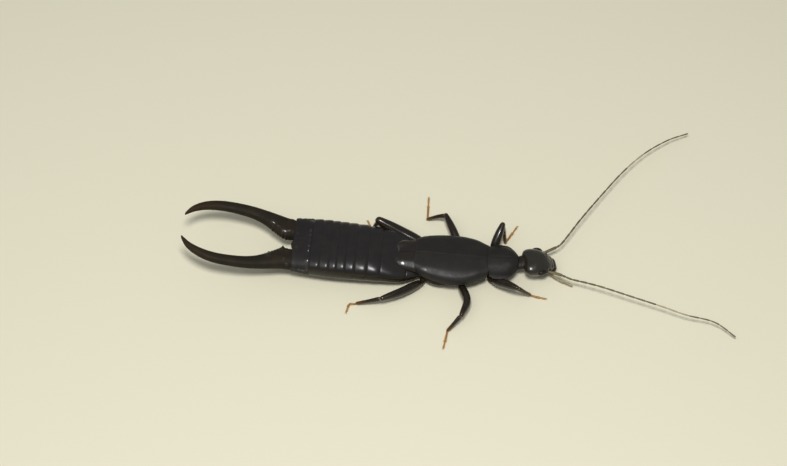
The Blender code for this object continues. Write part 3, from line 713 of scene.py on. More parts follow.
# Pincers: broad toothed roots, then long bowed arms that rise a little to their tips
pincerLook = {
    "route": (
        # x, distance from the middle, height, half width, half thickness
        (-14.40, 1.34, 1.72, 0.80, 0.55), (-14.90, 1.36, 1.80, 0.84, 0.59), (-15.40, 1.42, 1.90, 0.84, 0.58),
        (-16.25, 1.77, 2.07, 0.68, 0.49), (-17.00, 2.05, 2.21, 0.56, 0.43), (-18.00, 2.30, 2.41, 0.475, 0.39),
        (-19.20, 2.42, 2.65, 0.43, 0.36), (-20.50, 2.40, 2.90, 0.40, 0.33), (-21.60, 2.15, 3.13, 0.34, 0.29),
        (-22.45, 1.70, 3.29, 0.24, 0.22), (-22.90, 1.24, 3.38, 0.13, 0.12), (-23.08, 0.98, 3.42, 0.05, 0.05)),
    "teeth": (
        # x, length, width along the arm
        (-15.14, 0.06, 0.12), (-15.36, 0.13, 0.15), (-15.62, 0.11, 0.13), (-15.84, 0.07, 0.12),
        (-16.04, 0.06, 0.11), (-16.24, 0.08, 0.12), (-16.46, 0.12, 0.15), (-16.70, 0.05, 0.11),
        (-16.90, 0.04, 0.11), (-17.10, 0.03, 0.11)),
    "knobs": (
        (-15.44, 0.82, 2.26, 0.060, 0.34), (-15.66, 0.90, 2.28, 0.060, 0.32),
        (-16.04, 1.24, 2.42, 0.030, 0.22), (-16.46, 1.53, 2.52, 0.070, 0.40),
        (-15.05, 1.02, 2.34, 0.030, 0.24), (-14.98, 2.10, 2.10, 0.060, 0.22),
        (-15.20, 1.66, 2.42, 0.030, 0.24)),
    "tailPlate": (
        # x, height, half width, half thickness
        (-14.30, 1.76, 0.44, 0.30), (-14.50, 1.77, 0.46, 0.31), (-14.64, 1.78, 0.42, 0.28),
        (-14.76, 1.78, 0.36, 0.24), (-14.84, 1.80, 0.26, 0.19), (-14.88, 1.81, 0.12, 0.10)),
    "longTooth": (-15.47, 0.28, 0.12), "steps": 130, "sides": 36, "squareness": 2.30, "ridge": 0.035,
    "slopeStep": 0.04,
}


def addPincers():
    look = pincerLook
    first, last, near = look["route"][0][0], look["route"][-1][0], look["slopeStep"]
    for side, sign in bothSides:
        rings = []
        teeth = look["teeth"] + ((look["longTooth"],) if side == "right" else ())
        for step in range(look["steps"] + 1):
            share = step / look["steps"]
            x = first + (last - first) * (share * 0.55 + 0.45 * math.sin(share * math.pi / 2) ** 1.5)
            y, z, halfWidth, halfHeight = smoothAt(look["route"], x)
            ahead, behind = smoothAt(look["route"], x - near), smoothAt(look["route"], x + near)
            way = Vector((-2 * near, sign * (ahead[0] - behind[0]), ahead[1] - behind[1])).normalized()
            across = upward.cross(way).normalized()
            rings.append((Vector((x, sign * y, z)), across, way.cross(across), halfWidth, halfHeight))
        pincer = addRings(f"pincer_{side}", rings, look["sides"], look["squareness"])
        soften(pincer, 1)
        pincer.data.update()
        moves, shine = [], []
        for vertex in pincer.data.vertices:
            point, normal = vertex.co.copy(), vertex.normal.copy()
            y, z, halfWidth, halfHeight = smoothAt(look["route"], max(min(point.x, first), last))
            inner = ease(-sign * normal.y, 0.35, 0.9)
            inner *= ease(abs(point.z - z), halfHeight * 0.9, halfHeight * 0.3)
            tooth = sum(length * bump(point.x - x, width) for x, length, width in teeth) * inner
            root = ease(point.x, -17.6, -16.0)
            edge = (sign * point.y - y + halfWidth * 0.55) / halfWidth
            ridge = look["ridge"] * root * bump(edge, 0.35) * ease(normal.z, 0.1, 0.7)
            warts = knobLift(point, look["knobs"], 0.0) * ease(normal.z, 0.2, 0.7)
            shine.append(min(1.0, warts / look["knobs"][0][3]))
            moves.append(point + Vector((0, -sign * tooth, 0)) + normal * (ridge + warts))
        for vertex, point in zip(pincer.data.vertices, moves):
            vertex.co = point
        markAlong(pincer, shine, "gloss")
        finishPiece(pincer, "pincerShell", [f"forceps_{side}"])
    rings = [(Vector((x, 0, z)), toLeft, upward, w, h) for x, z, w, h in look["tailPlate"]]
    finishPiece(addRings("tail_plate", rings, 24, 2.6), "pincerShell", ["pygidium"], levels=1)


addPincers()
print("pincers made")


# Thorax below the covers, breast plates and neck
thoraxLook = {
    "upper": (
        # x, half width, top, underside
        (0.30, 0.72, 1.66, 1.04), (-0.1, 0.90, 1.70, 0.98), (-0.5, 1.15, 1.70, 0.80),
        (-1.4, 1.50, 1.68, 0.62), (-2.2, 1.76, 1.64, 0.50), (-3.0, 2.02, 1.60, 0.44),
        (-3.6, 2.06, 1.58, 0.46), (-4.2, 1.86, 1.54, 0.52), (-4.7, 1.52, 1.48, 0.66),
        (-5.15, 1.05, 1.38, 0.90)),
    "front": ((2.42, 0.40, 1.40, 0.84), (2.10, 0.62, 1.56, 0.66), (1.5, 0.86, 1.64, 0.54),
              (0.8, 0.90, 1.66, 0.50), (0.30, 0.80, 1.60, 0.52), (-0.10, 0.60, 1.46, 0.60)),
    "breast": ((0.05, 0.50, 0.98, 0.46), (-0.5, 0.80, 1.02, 0.38), (-1.6, 0.90, 1.04, 0.34),
               (-2.6, 0.88, 1.04, 0.34), (-3.8, 0.90, 1.04, 0.35), (-4.6, 0.86, 1.02, 0.38),
               (-5.15, 0.72, 0.98, 0.44)),
    "neck": ((2.10, 0.06, 1.24, 0.50, 0.30), (2.36, 0.10, 1.28, 0.58, 0.36), (2.46, 0.12, 1.30, 0.54, 0.33),
             (2.58, 0.14, 1.33, 0.61, 0.38), (2.68, 0.16, 1.36, 0.57, 0.35), (2.80, 0.17, 1.40, 0.62, 0.38),
             (2.94, 0.18, 1.43, 0.58, 0.34), (3.10, 0.20, 1.45, 0.50, 0.28)),
    "breastSeams": (-0.35, -1.15, -2.75, -3.65, -4.85),
    "frontSeams": ((1.75, 0.04, 0.09), (0.45, 0.03, 0.08)),
}


def trunkPiece(name, stations, steps, power, node, dent):
    first, last = stations[0][0], stations[-1][0]
    rings = [outlineRing(stations, first + (last - first) * step / steps) for step in range(steps + 1)]
    piece = addRings(name, rings, 32, power)
    soften(piece, 1)
    carve(piece, dent)
    finishPiece(piece, "bellyShell", [node])


def breastSeams(point):
    # seams between the breast plates and along their middle
    seam = sum(0.05 * bump(point.x - x, 0.09) for x in thoraxLook["breastSeams"])
    return -seam - 0.03 * bump(point.y - middle(point.x), 0.10) * ease(point.z, 0.7, 0.5)


def frontSeams(point):
    return -sum(depth * bump(point.x - x, width) for x, depth, width in thoraxLook["frontSeams"])


def addThorax():
    look = thoraxLook
    trunkPiece("thorax_core", look["upper"], 24, 2.6, "thorax", breastSeams)
    trunkPiece("front_thorax", look["front"], 18, 2.5, "prothorax", frontSeams)
    trunkPiece("breast_plates", look["breast"], 30, 2.6, "sternum", breastSeams)
    rings = [(Vector((x, y, z)), toLeft, upward, w, h) for x, y, z, w, h in look["neck"]]
    finishPiece(addRings("neck_skin", rings, 32, 2.2), "softSkin", ["neck"], levels=2)


addThorax()
print("thorax and neck made")


# Folded sections, drawn by their slope: share of the way round, degrees from level
def foldedSection(slopes, steps=80):
    across, drop, rows = 0.0, 0.0, [(0.0, 0.0)]
    for step in range(steps):
        slope = math.radians(smoothAt(slopes, (step + 0.5) / steps)[0])
        across += math.cos(slope)
        drop += math.sin(slope)
        rows.append((across, drop))
    return [(step / steps, a / across, d / drop) for step, (a, d) in enumerate(rows)]


# Wing covers: stiff, flat on the back, folded down along the flank
coverLook = {
    "outline": (
        # x, half width, top, lower edge, middle
        (0.45, 1.42, 1.98, 1.34, -0.02), (0.16, 1.56, 2.03, 1.30, -0.03), (-0.6, 1.91, 2.12, 1.28, -0.05),
        (-1.6, 2.16, 2.20, 1.28, -0.09), (-2.6, 2.22, 2.24, 1.28, -0.10), (-3.4, 2.15, 2.24, 1.32, -0.07),
        (-4.2, 1.99, 2.22, 1.40, -0.03), (-4.8, 1.83, 2.20, 1.48, -0.02), (-5.4, 1.62, 2.17, 1.58, -0.02)),
    "rearSlopes": ((0.0, 3.0), (0.36, 5.0), (0.55, 11.0), (0.63, 24.0), (0.75, 31.0), (0.84, 54.0),
                   (1.0, 80.0)),
    "frontSlopes": ((0.0, 3.0), (0.50, 5.0), (0.72, 11.0), (0.80, 24.0), (0.87, 31.0), (0.92, 56.0),
                    (1.0, 80.0)),
    "glint": (0.872, 0.062), "faintGlint": 0.06, "glintSwell": 0.034, "corner": 0.16, "shoulder": 0.05,
    "wall": 0.045, "seam": -0.03, "rearSweep": 0.30, "frontSweep": 0.30, "overlap": 0.012,
}


def addWingCovers():
    look = coverLook
    rearSection, frontSection = foldedSection(look["rearSlopes"]), foldedSection(look["frontSlopes"])
    front, rear = look["outline"][0][0], look["outline"][-1][0]
    for side, sign in bothSides:
        def place(u, v):
            x = front + (rear - front) * u
            halfWidth, top, edge, centre = smoothAt(look["outline"], x)
            behind, ahead, share = smoothAt(rearSection, v), smoothAt(frontSection, v), ease(u, 0.95, 0.15)
            across, drop = (b + (a - b) * share for a, b in zip(ahead, behind))
            corner = look["corner"] * ease(u, 0.90, 1.0) * ease(v, 0.55, 1.0)
            reach = look["seam"] + (halfWidth - corner - look["seam"]) * across
            rise = look["overlap"] * sign * bump(v, 0.20)
            shoulder = look["shoulder"] * bump(u - 0.17, 0.16) * bump(v - 0.62, 0.35)
            shoulder += look["glintSwell"] * bump(u - look["glint"][0], 0.10) * bump(v - 0.70, 0.22)
            sweep = -look["frontSweep"] * (1 - u) ** 3 * v**2 + look["rearSweep"] * u**6 * (v - 0.25) ** 2
            return Vector((x + sweep, centre + sign * reach, top - (top - edge) * drop + rise + shoulder))

        def polished(u, v):
            spot, size = look["glint"]
            fold = bump(v - (0.72 + 0.12 * ease(u, 0.95, 0.15)), 0.13)
            return fold * max(bump(u - spot, size), look["faintGlint"] * ease(u, 0.86, 0.78))

        marks = [("gloss", polished)]
        cover = addPlate(f"wing_cover_{side}", 46, 48, place, flip=side == "left", marks=marks)
        thicken(cover, look["wall"], rim=0.018)
        finishPiece(cover, "coverShell", [f"tegmen_{side}"])


addWingCovers()


# Tips of the folded hind wings, past the covers, with a pinkish painted highlight where they meet
wingTipLook = {
    "front": -4.9, "rear": -7.22, "outerFront": 1.54, "outerRear": 1.26, "top": 2.12, "base": 1.56,
    "slopes": ((0.0, 2.0), (0.42, 6.0), (0.58, 22.0), (0.76, 32.0), (0.88, 55.0), (1.0, 78.0)),
    "wall": 0.04, "seam": 0.012, "middle": -0.05,
    "cornerSweep": 0.70, "cornerRise": 0.20, "cornerFrom": -5.95,
    # the last two place the pinkish painted highlight where the wing tips meet
    "shineAt": ((-6.98, 0.66), (-6.35, 1.12)), "shineWidth": 0.36, "paintedGlintAt": (-6.92, 0.16), "paintedGlintSize": 0.40,
}


def addWingTips():
    look = wingTipLook
    section = foldedSection(look["slopes"])
    for side, sign in bothSides:
        def place(u, v):
            across, drop = smoothAt(section, v)
            along, fall = smoothAt(section, 0.30 * u + 0.70 * u**1.5)
            outer = look["outerFront"] + (look["outerRear"] - look["outerFront"]) * u
            x = look["front"] + (look["rear"] - look["front"]) * along
            x += look["cornerSweep"] * across**2.2 * along**3
            lower = min(1.0, (drop**2 + fall**2) ** 0.5)
            z = look["top"] - 0.03 * u - 0.05 * (1 - ease(u, 0.10, 0.35))
            z -= (look["top"] - look["base"]) * lower
            z += look["cornerRise"] * max(0.0, look["cornerFrom"] - x) * ease(across, 0.15, 0.55)
            y = look["middle"] + sign * (look["seam"] + (outer - look["seam"]) * across)
            return Vector((x, y, z))

        tip = addPlate(f"wing_end_{side}", 34, 34, place, flip=side == "left")
        marks, shine = [], []
        start, end = (Vector(p) for p in look["shineAt"])
        for vertex in tip.data.vertices:
            # a pinkish painted highlight near the seam, spread as a soft spot
            away = math.hypot((vertex.co.x - look["paintedGlintAt"][0]) / look["paintedGlintSize"],
                              (vertex.co.y - look["paintedGlintAt"][1]) / look["paintedGlintSize"])
            marks.append(bump(away, 1.0))
            spot = Vector((vertex.co.x, abs(vertex.co.y)))
            share = min(max((spot - start).dot(end - start) / (end - start).length_squared, 0.0), 1.0)
            shine.append(bump((spot - start.lerp(end, share)).length, look["shineWidth"]))
        markAlong(tip, marks, "pale")
        markAlong(tip, shine, "gloss")
        thicken(tip, look["wall"], rim=0.015)
        finishPiece(tip, "tipShell", [f"wing_tip_{side}"])


addWingTips()


# Neck shield: raised in front, grooved along the middle, with flattened side rims
shieldLook = {
    "outline": (
        # x, half width, top, side edge
        (0.14, 1.52, 2.12, 1.50), (0.40, 1.56, 2.15, 1.48), (0.8, 1.57, 2.17, 1.46), (1.3, 1.56, 2.19, 1.45),
        (1.7, 1.49, 2.19, 1.45), (2.0, 1.30, 2.15, 1.46), (2.25, 1.04, 2.07, 1.48), (2.42, 0.80, 1.98, 1.50),
        (2.50, 0.66, 1.92, 1.50)),
    "slopes": ((0.0, 4.0), (0.35, 11.0), (0.62, 30.0), (0.82, 44.0), (0.92, 22.0), (1.0, 12.0)),
    "wall": 0.05, "groove": 0.032, "grooveWidth": 0.10, "rearBulge": 0.20, "frontBulge": 0.05,
    "domes": 0.035, "crossDent": 0.022, "frontRim": 0.022,
}


def addShield():
    look = shieldLook
    section = foldedSection(look["slopes"])
    front, rear = look["outline"][-1][0], look["outline"][0][0]

    def place(u, v):
        x = front + (rear - front) * u
        halfWidth, top, edge = smoothAt(look["outline"], x)
        aside = 2 * v - 1
        across, drop = smoothAt(section, abs(aside))
        corner = 1 - 0.10 * ease(u, 0.88, 1.0) * abs(aside) ** 3
        y = math.copysign(halfWidth * across * corner, aside)
        z = top - (top - edge) * drop
        z -= look["groove"] * bump(y, look["grooveWidth"]) * ease(u, 0.04, 0.20) * (1 - ease(u, 0.80, 0.95))
        z += look["domes"] * (bump(abs(y) - 0.48, 0.40) * bump(u - 0.30, 0.24))
        z -= look["crossDent"] * bump(u - 0.56, 0.12) * bump(y, 0.85)
        z += look["frontRim"] * ease(u, 0.05, 0.0) * (1 - abs(aside) ** 4)
        sweep = look["rearBulge"] * (abs(y) / 1.3) ** 2 * ease(u, 0.4, 1.0)
        sweep -= look["frontBulge"] * (abs(y) / 0.9) ** 2 * (1 - u) ** 4
        return Vector((x + sweep, middle(x) + y, z))

    shield = addPlate("neck_shield", 40, 64, place, flip=True)
    thicken(shield, look["wall"], rim=0.02)
    finishPiece(shield, "shieldShell", ["pronotum"])


addShield()
print("wing covers and neck shield made")


# Head, turned to its left and tipped down; places on it are along, aside and above its own middle
headLook = {
    "centre": Vector((3.98, 0.28, 1.32)), "yaw": 14.0, "pitch": 15.0, "steps": 30,
    "outline": (
        # along the head, half width, top, underside
        (-1.18, 0.50, 0.22, -0.26), (-1.09, 0.86, 0.40, -0.38), (-0.92, 1.07, 0.52, -0.46),
        (-0.55, 1.17, 0.62, -0.54), (-0.15, 1.15, 0.67, -0.58), (0.25, 1.07, 0.65, -0.58),
        (0.60, 0.93, 0.54, -0.50), (0.90, 0.74, 0.38, -0.38), (1.10, 0.62, 0.25, -0.24),
        (1.20, 0.50, 0.17, -0.14)),
    "suture": 0.030, "sutureWidth": 0.05, "sutureFork": -0.05, "sutureSpread": 0.72,
    "eyePlace": Vector((0.14, 1.05, 0.15)), "eyeSize": Vector((0.40, 0.17, 0.27)), "eyeTurn": 12.0,
    "socket": Vector((0.70, 0.80, 0.16)), "socketDip": 0.05, "socketRim": 0.02,
    "crown": 0.020, "lipEdge": 0.035, "notch": 0.16, "facetEdge": 0.972,
}
headYaw = Matrix.Rotation(math.radians(headLook["yaw"]), 4, "Z")
headTurn = headYaw @ Matrix.Rotation(math.radians(headLook["pitch"]), 4, "Y")
headFrame = Matrix.Translation(headLook["centre"]) @ headTurn
headInverse = headFrame.inverted()


def onHead(along, aside, above):
    return headFrame @ Vector((along, aside, above))


def headWay(along, aside, above):
    return (headTurn @ Vector((along, aside, above))).normalized()


def skullDepth(point):
    # the forked seam on the crown, the dip round each feeler socket and the edge above the lip
    look = headLook
    along, aside, above = headInverse @ point
    if above < 0:
        return 0.0
    depth = 0.0
    if along < look["sutureFork"]:
        depth += look["suture"] * bump(aside, look["sutureWidth"]) * ease(along, -1.0, -0.8)
    else:
        line = (along - look["sutureFork"]) * look["sutureSpread"]
        depth += look["suture"] * bump(abs(aside) - line, look["sutureWidth"]) * (1 - ease(along, 0.65, 0.82))
    depth -= look["crown"] * bump(along + 0.42, 0.30) * bump(abs(aside) - 0.45, 0.5)
    depth += look["lipEdge"] * bump(along - 1.02, 0.05) * (1 - ease(abs(aside), 0.45, 0.60))
    ring = (Vector((along, abs(aside), above)) - look["socket"]).length
    depth += look["socketDip"] * bump(ring, 0.20) - look["socketRim"] * bump(ring - 0.24, 0.09)
    return -depth


def headRing(along, above, halfWidth, halfHeight):
    return onHead(along, 0, above), headWay(0, 1, 0), headWay(0, 0, 1), halfWidth, halfHeight


def addSkull():
    stations, steps = headLook["outline"], headLook["steps"]
    first, last = stations[0][0], stations[-1][0]
    rings = []
    for step in range(steps + 1):
        along = first + (last - first) * (0.5 - 0.5 * math.cos(math.pi * step / steps))
        halfWidth, top, bottom = smoothAt(stations, along)
        rings.append(headRing(along, (top + bottom) / 2, halfWidth, (top - bottom) / 2))
    skull = addRings("head_capsule", rings, 56, 2.25)
    for vertex in skull.data.vertices:
        along, aside, above = headInverse @ vertex.co
        notch = headLook["notch"] * (1 - ease(abs(aside), 0.0, 0.75)) * (1 - ease(along, -1.18, -0.55))
        vertex.co = onHead(along + notch, aside, above)
    soften(skull, 1)
    carve(skull, skullDepth)
    finishPiece(skull, "headShell", ["head"])


def addEyes():
    # a ball of many small facets, each a little domed, set into the side of the head
    look = headLook
    for side, sign in bothSides:
        clearSelection()
        bpy.ops.mesh.primitive_ico_sphere_add(subdivisions=4, radius=1.0)
        eye = bpy.context.object
        eye.name = f"eye_{side}"
        corners = len(eye.data.vertices)
        bpy.ops.object.mode_set(mode="EDIT")
        bpy.ops.mesh.select_all(action="SELECT")
        bpy.ops.mesh.subdivide(number_cuts=1, smoothness=0.0)
        bpy.ops.object.mode_set(mode="OBJECT")
        size, place = look["eyeSize"], look["eyePlace"]
        turn = Matrix.Rotation(math.radians(-sign * look["eyeTurn"]), 4, "Z")
        for index, vertex in enumerate(eye.data.vertices):
            ball = vertex.co.normalized() * (1.0 if index < corners else look["facetEdge"])
            local = turn @ Vector((ball.x * size.x, ball.y * size.y, ball.z * size.z))
            vertex.co = onHead(place.x + local.x, sign * place.y + local.y, place.z + local.z)
        finishPiece(eye, "eyeShell", [f"eye_{side}"], sharp=80)


addSkull()
addEyes()
print("head made")


# Jointed limbs: rings along a route whose size swells in each joint and narrows between them
def jointedRings(route, joints):
    # joints are (share where it starts, share where it ends, start radius, middle radius, end radius)
    lengths = [0.0]
    for near, far in zip(route, route[1:]):
        lengths.append(lengths[-1] + (far - near).length)
    stations = [(length / lengths[-1], *point) for length, point in zip(lengths, route)]
    points, sizes = [], []
    for start, end, first, widest, last in joints:
        span = end - start
        profile = ((0.03, first * 0.62), (0.08, first), (0.30, (first + widest) / 2), (0.60, widest),
                   (0.86, (widest + last) / 2), (0.95, last), (0.985, last * 0.62))
        for share, size in profile:
            points.append(Vector(smoothAt(stations, start + span * share)))
            sizes.append(size)
    return points, sizes


# Feelers: a thick first joint, a short second one and eighteen more, three of them pale
feelerLook = {
    "routes": {
        "right": ((4.70, -0.30, 1.16), (4.94, -0.38, 1.16), (5.30, -0.46, 1.17), (5.65, -0.55, 1.19),
                  (6.10, -0.76, 1.24), (6.61, -1.01, 1.31), (7.60, -1.28, 1.42), (8.77, -1.60, 1.50),
                  (11.13, -2.27, 1.45), (13.47, -2.91, 1.35), (15.29, -3.41, 1.20), (17.49, -3.73, 0.95),
                  (19.07, -4.63, 0.55)),
        "left": ((4.28, 1.16, 1.22), (4.57, 1.38, 1.26), (5.10, 1.68, 1.31), (5.60, 2.02, 1.37),
                 (6.05, 2.66, 1.46), (7.12, 4.46, 1.60), (8.76, 7.13, 1.50), (10.30, 9.50, 1.38),
                 (11.95, 11.55, 1.22), (13.80, 13.20, 1.00), (15.40, 14.20, 0.75))},
    "joints": 20, "firstLength": 1.30, "secondLength": 0.24, "paleFrom": 0.60, "paleTo": 0.735,
    "paleBand": 0.8, "paleSeam": 0.12,
    "firstRadius": 0.122, "thirdRadius": 0.082, "tipRadius": 0.056, "socketRadius": 0.130, "socketRim": 0.045,
}


def feelerJoints(total):
    look = feelerLook
    thick = look["firstRadius"]
    ends = [0.0, look["firstLength"] / total, (look["firstLength"] + look["secondLength"]) / total]
    rest, left = look["joints"] - 2, 1 - ends[2]
    weights = [0.62 + 0.5 * math.sin(math.pi * min((i + 1.5) / rest, 1.0) * 0.75) for i in range(rest)]
    for weight in weights:
        ends.append(ends[-1] + left * weight / sum(weights))
    joints = [(ends[0], ends[1], thick * 0.86, thick, thick * 0.95),
              (ends[1], ends[2], thick * 0.62, thick * 0.74, thick * 0.72)]
    for i in range(rest):
        size = look["thirdRadius"] + (look["tipRadius"] - look["thirdRadius"]) * i / rest
        joints.append((ends[i + 2], ends[i + 3], size * 0.80, size, size * 1.02))
    return joints


def addFeelers():
    look = feelerLook
    for side, points in look["routes"].items():
        route = smoothRoute(points, 120)
        total = sum((far - near).length for near, far in zip(route, route[1:]))
        joints = feelerJoints(total)
        places, sizes = jointedRings(route, joints)
        feeler = addRings(f"feeler_{side}", routeRings(places, sizes, sizes, capSteps=2), 12)
        pale = []
        for mark in feeler.data.attributes["along"].data:
            start, end = next((j[0], j[1]) for j in joints if mark.value <= j[1] or j is joints[-1])
            within = (mark.value - start) / (end - start)
            band = look["paleFrom"] < (start + end) / 2 < look["paleTo"]
            seam = look["paleSeam"] if within < 0.10 or within > 0.93 else 0.0
            pale.append(look["paleBand"] if band else seam)
        markAlong(feeler, pale, "pale")
        finishPiece(feeler, "feelerShell", [f"antenna_{side}"], levels=1)
        clearSelection()
        inner, base, outer = (Vector(p) for p in points[:3])
        base, way = inner.lerp(base, 0.45), (outer - inner).normalized()
        bpy.ops.mesh.primitive_torus_add(
            location=base + way * 0.03, rotation=way.to_track_quat("Z", "Y").to_euler(),
            major_radius=look["socketRadius"], minor_radius=look["socketRim"],
            major_segments=28, minor_segments=10)
        ring = bpy.context.object
        ring.name = f"feeler_socket_{side}"
        bpy.ops.object.transform_apply(location=True, rotation=True, scale=True)
        finishPiece(ring, "socketShell", levels=1)


# Mouth: lip, jaws and the jointed palps beside them
mouthLook = {
    "palps": {
        "right": ((4.60, -0.02, 0.78), (4.90, -0.14, 0.66), (5.20, -0.30, 0.57), (5.62, -0.56, 0.50),
                  (6.14, -0.76, 0.45), (6.74, -0.96, 0.38)),
        "left": ((4.40, 0.92, 0.74), (4.50, 1.06, 0.60), (4.68, 1.18, 0.46), (4.96, 1.18, 0.37),
                 (5.20, 1.02, 0.31), (5.32, 0.78, 0.27))},
    "palpRadius": 0.086, "palpJoints": (0.0, 0.10, 0.22, 0.46, 0.72, 1.0),
    "lowerPalp": ((1.02, 0.22, -0.50), (1.20, 0.30, -0.60), (1.42, 0.36, -0.66), (1.60, 0.36, -0.70)),
    "lowerPalpRadius": 0.045, "lowerPalpJoints": (0.0, 0.30, 0.62, 1.0),
    "jaw": ((0.86, 0.56, -0.40), (1.12, 0.53, -0.36), (1.34, 0.42, -0.33), (1.50, 0.24, -0.31),
            (1.56, 0.04, -0.30)),
    "jawSteps": 14,
    # on the head's middle line: along, above, half width, half height
    "facePlate": ((1.08, 0.00, 0.50, 0.17), (1.16, 0.01, 0.51, 0.155), (1.24, 0.00, 0.485, 0.13),
                  (1.29, -0.01, 0.46, 0.10)),
    "upperLip": ((1.22, -0.01, 0.40, 0.08), (1.27, 0.0, 0.45, 0.115), (1.36, -0.02, 0.44, 0.105),
                 (1.45, -0.05, 0.36, 0.085), (1.50, -0.07, 0.22, 0.055)),
    "lowerLip": ((0.30, -0.50, 0.40, 0.10), (0.60, -0.50, 0.46, 0.12), (0.95, -0.50, 0.42, 0.12),
                 (1.20, -0.50, 0.30, 0.10), (1.34, -0.50, 0.18, 0.07)),
}


def addPalp(name, route, radius, ends, nodes=()):
    joints = [(start, end, radius * 0.78, radius, radius * 0.95) for start, end in zip(ends, ends[1:])]
    places, sizes = jointedRings(smoothRoute(route, 40), joints)
    limbPiece(name, places, sizes, "palpShell", nodes, sides=12, capSteps=2)


def headPiece(name, stations, power, finish, nodes=()):
    rings = [headRing(*station) for station in stations]
    finishPiece(addRings(name, rings, 28, power), finish, nodes, levels=2)


def addMouth():
    look = mouthLook
    headPiece("face_plate", look["facePlate"], 2.6, "mouthShell")
    headPiece("upper_lip", look["upperLip"], 2.5, "mouthShell", ["labrum"])
    steps = look["jawSteps"]
    route = smoothRoute(look["jaw"], steps)
    widths = [0.20 - 0.15 * (i / steps) ** 1.6 for i in range(steps + 1)]
    heights = [0.15 - 0.10 * (i / steps) ** 1.4 for i in range(steps + 1)]
    for side, sign in bothSides:
        places = [onHead(p.x, sign * p.y, p.z - 0.02 * sign) for p in route]
        limbPiece(f"jaw_{side}", places, widths, "mouthShell", [f"mandible_{side}"], heights, power=2.3)
        addPalp(f"palp_{side}", look["palps"][side], look["palpRadius"], look["palpJoints"], [f"palp_{side}"])
        lower = [onHead(a, sign * b, c) for a, b, c in look["lowerPalp"]]
        addPalp(f"lower_palp_{side}", lower, look["lowerPalpRadius"], look["lowerPalpJoints"])
    headPiece("lower_lip", look["lowerLip"], 2.4, "bellyShell")


addFeelers()
addMouth()
print("feelers and mouth made")


# Legs: hip, small second joint, flattened thigh, thin shin and a foot of three joints with two claws
legLook = {
    "front_left": dict(hip=(0.55, 1.02, 0.62), thigh=((0.52, 1.45, 0.78), (0.80, 2.20, 1.45)), thick=1.12,
                       knee=(1.12, 3.04, 2.10), ankle=(1.42, 2.62, 0.34), toes=((2.24, 4.25, 0.20),)),
    "front_right": dict(hip=(0.55, -0.98, 0.62), thigh=((0.72, -1.32, 0.78), (1.60, -1.80, 1.24)),
                        knee=(2.53, -2.36, 1.62), ankle=(3.57, -2.06, 0.34), toes=((4.72, -2.22, 0.20),)),
    "middle_left": dict(hip=(-1.95, 1.05, 0.60), thigh=((-2.02, 1.65, 0.60), (-2.66, 2.95, 0.98)),
                        knee=(-3.30, 4.15, 1.25), ankle=(-4.74, 4.32, 0.34), toes=((-4.81, 6.42, 0.20),)),
    "middle_right": dict(hip=(-1.95, -1.05, 0.60), thigh=((-1.80, -1.70, 0.60), (-1.16, -3.40, 0.93)),
                         knee=(-1.49, -4.80, 1.10), ankle=(-2.46, -5.80, 0.34), toes=((-2.66, -7.26, 0.20),)),
    "hind_left": dict(hip=(-4.50, 1.05, 0.60), thigh=((-4.75, 1.62, 0.60), (-6.48, 2.20, 1.06)), thick=1.6,
                      knee=(-8.38, 2.72, 1.97), ankle=(-8.95, 2.88, 0.34), toes=((-9.36, 3.80, 0.20),)),
    "hind_right": dict(hip=(-4.50, -1.05, 0.60), thigh=((-4.72, -1.78, 0.60), (-6.20, -3.00, 0.90)),
                       knee=(-7.57, -3.80, 1.05), ankle=(-9.50, -3.95, 0.34),
                       toes=((-10.04, -4.00, 0.20), (-10.22, -4.70, 0.20))),
}
limbLook = {
    "thighWide": ((0.0, 0.21), (0.12, 0.29), (0.35, 0.325), (0.70, 0.290), (0.90, 0.230), (1.0, 0.19)),
    "thighHigh": ((0.0, 0.22), (0.12, 0.33), (0.35, 0.385), (0.70, 0.335), (0.90, 0.260), (1.0, 0.21)),
    "shin": ((0.0, 0.11), (0.06, 0.175), (0.14, 0.165), (0.45, 0.140), (0.80, 0.125), (0.95, 0.125),
             (1.0, 0.100)),
    "hip": (0.31, 0.33, 0.335, 0.33, 0.315, 0.29, 0.26, 0.225, 0.18), "hipDepth": 0.34,
    "secondJoint": (0.15, 0.20, 0.225, 0.23, 0.22, 0.20, 0.15),
    "kneeSkin": (0.11, 0.118, 0.125, 0.128, 0.120, 0.112, 0.10),
    "thighSteps": 16, "shinSteps": 14, "shinDepth": 1.12,
    "ankleHeight": 0.19, "soleHeight": 0.085, "viewSlip": 0.70,
    "footJoints": ((0.0, 0.46, 0.068, 0.084, 0.098), (0.45, 0.64, 0.080, 0.098, 0.112),
                   (0.62, 0.98, 0.052, 0.072, 0.085)),
    "claw": 0.20, "clawRadius": 0.026, "clawSpread": 26.0,
}


def onFloor(point, height):
    # a place on the floor that covers the same spot of the photo as a higher one
    x, y, z = point
    return Vector((x, y + limbLook["viewSlip"] * (z - height), height))


def addClaws(name, toe, way):
    look = limbLook
    for number, turn in enumerate((look["clawSpread"], -look["clawSpread"]), start=1):
        out = Matrix.Rotation(math.radians(turn), 3, "Z") @ way
        tip = toe + out * look["claw"] + Vector((0, 0, 0.012 - toe.z))
        bend = toe + out * look["claw"] * 0.55 + Vector((0, 0, 0.035))
        route = smoothRoute([toe - way * 0.03, bend, tip], 8)
        sizes = [look["clawRadius"] * (1 - 0.80 * i / 8) for i in range(9)]
        limbPiece(f"{name}_claw_{number}", route, sizes, "footShell", sides=8, capSteps=1, levels=0)


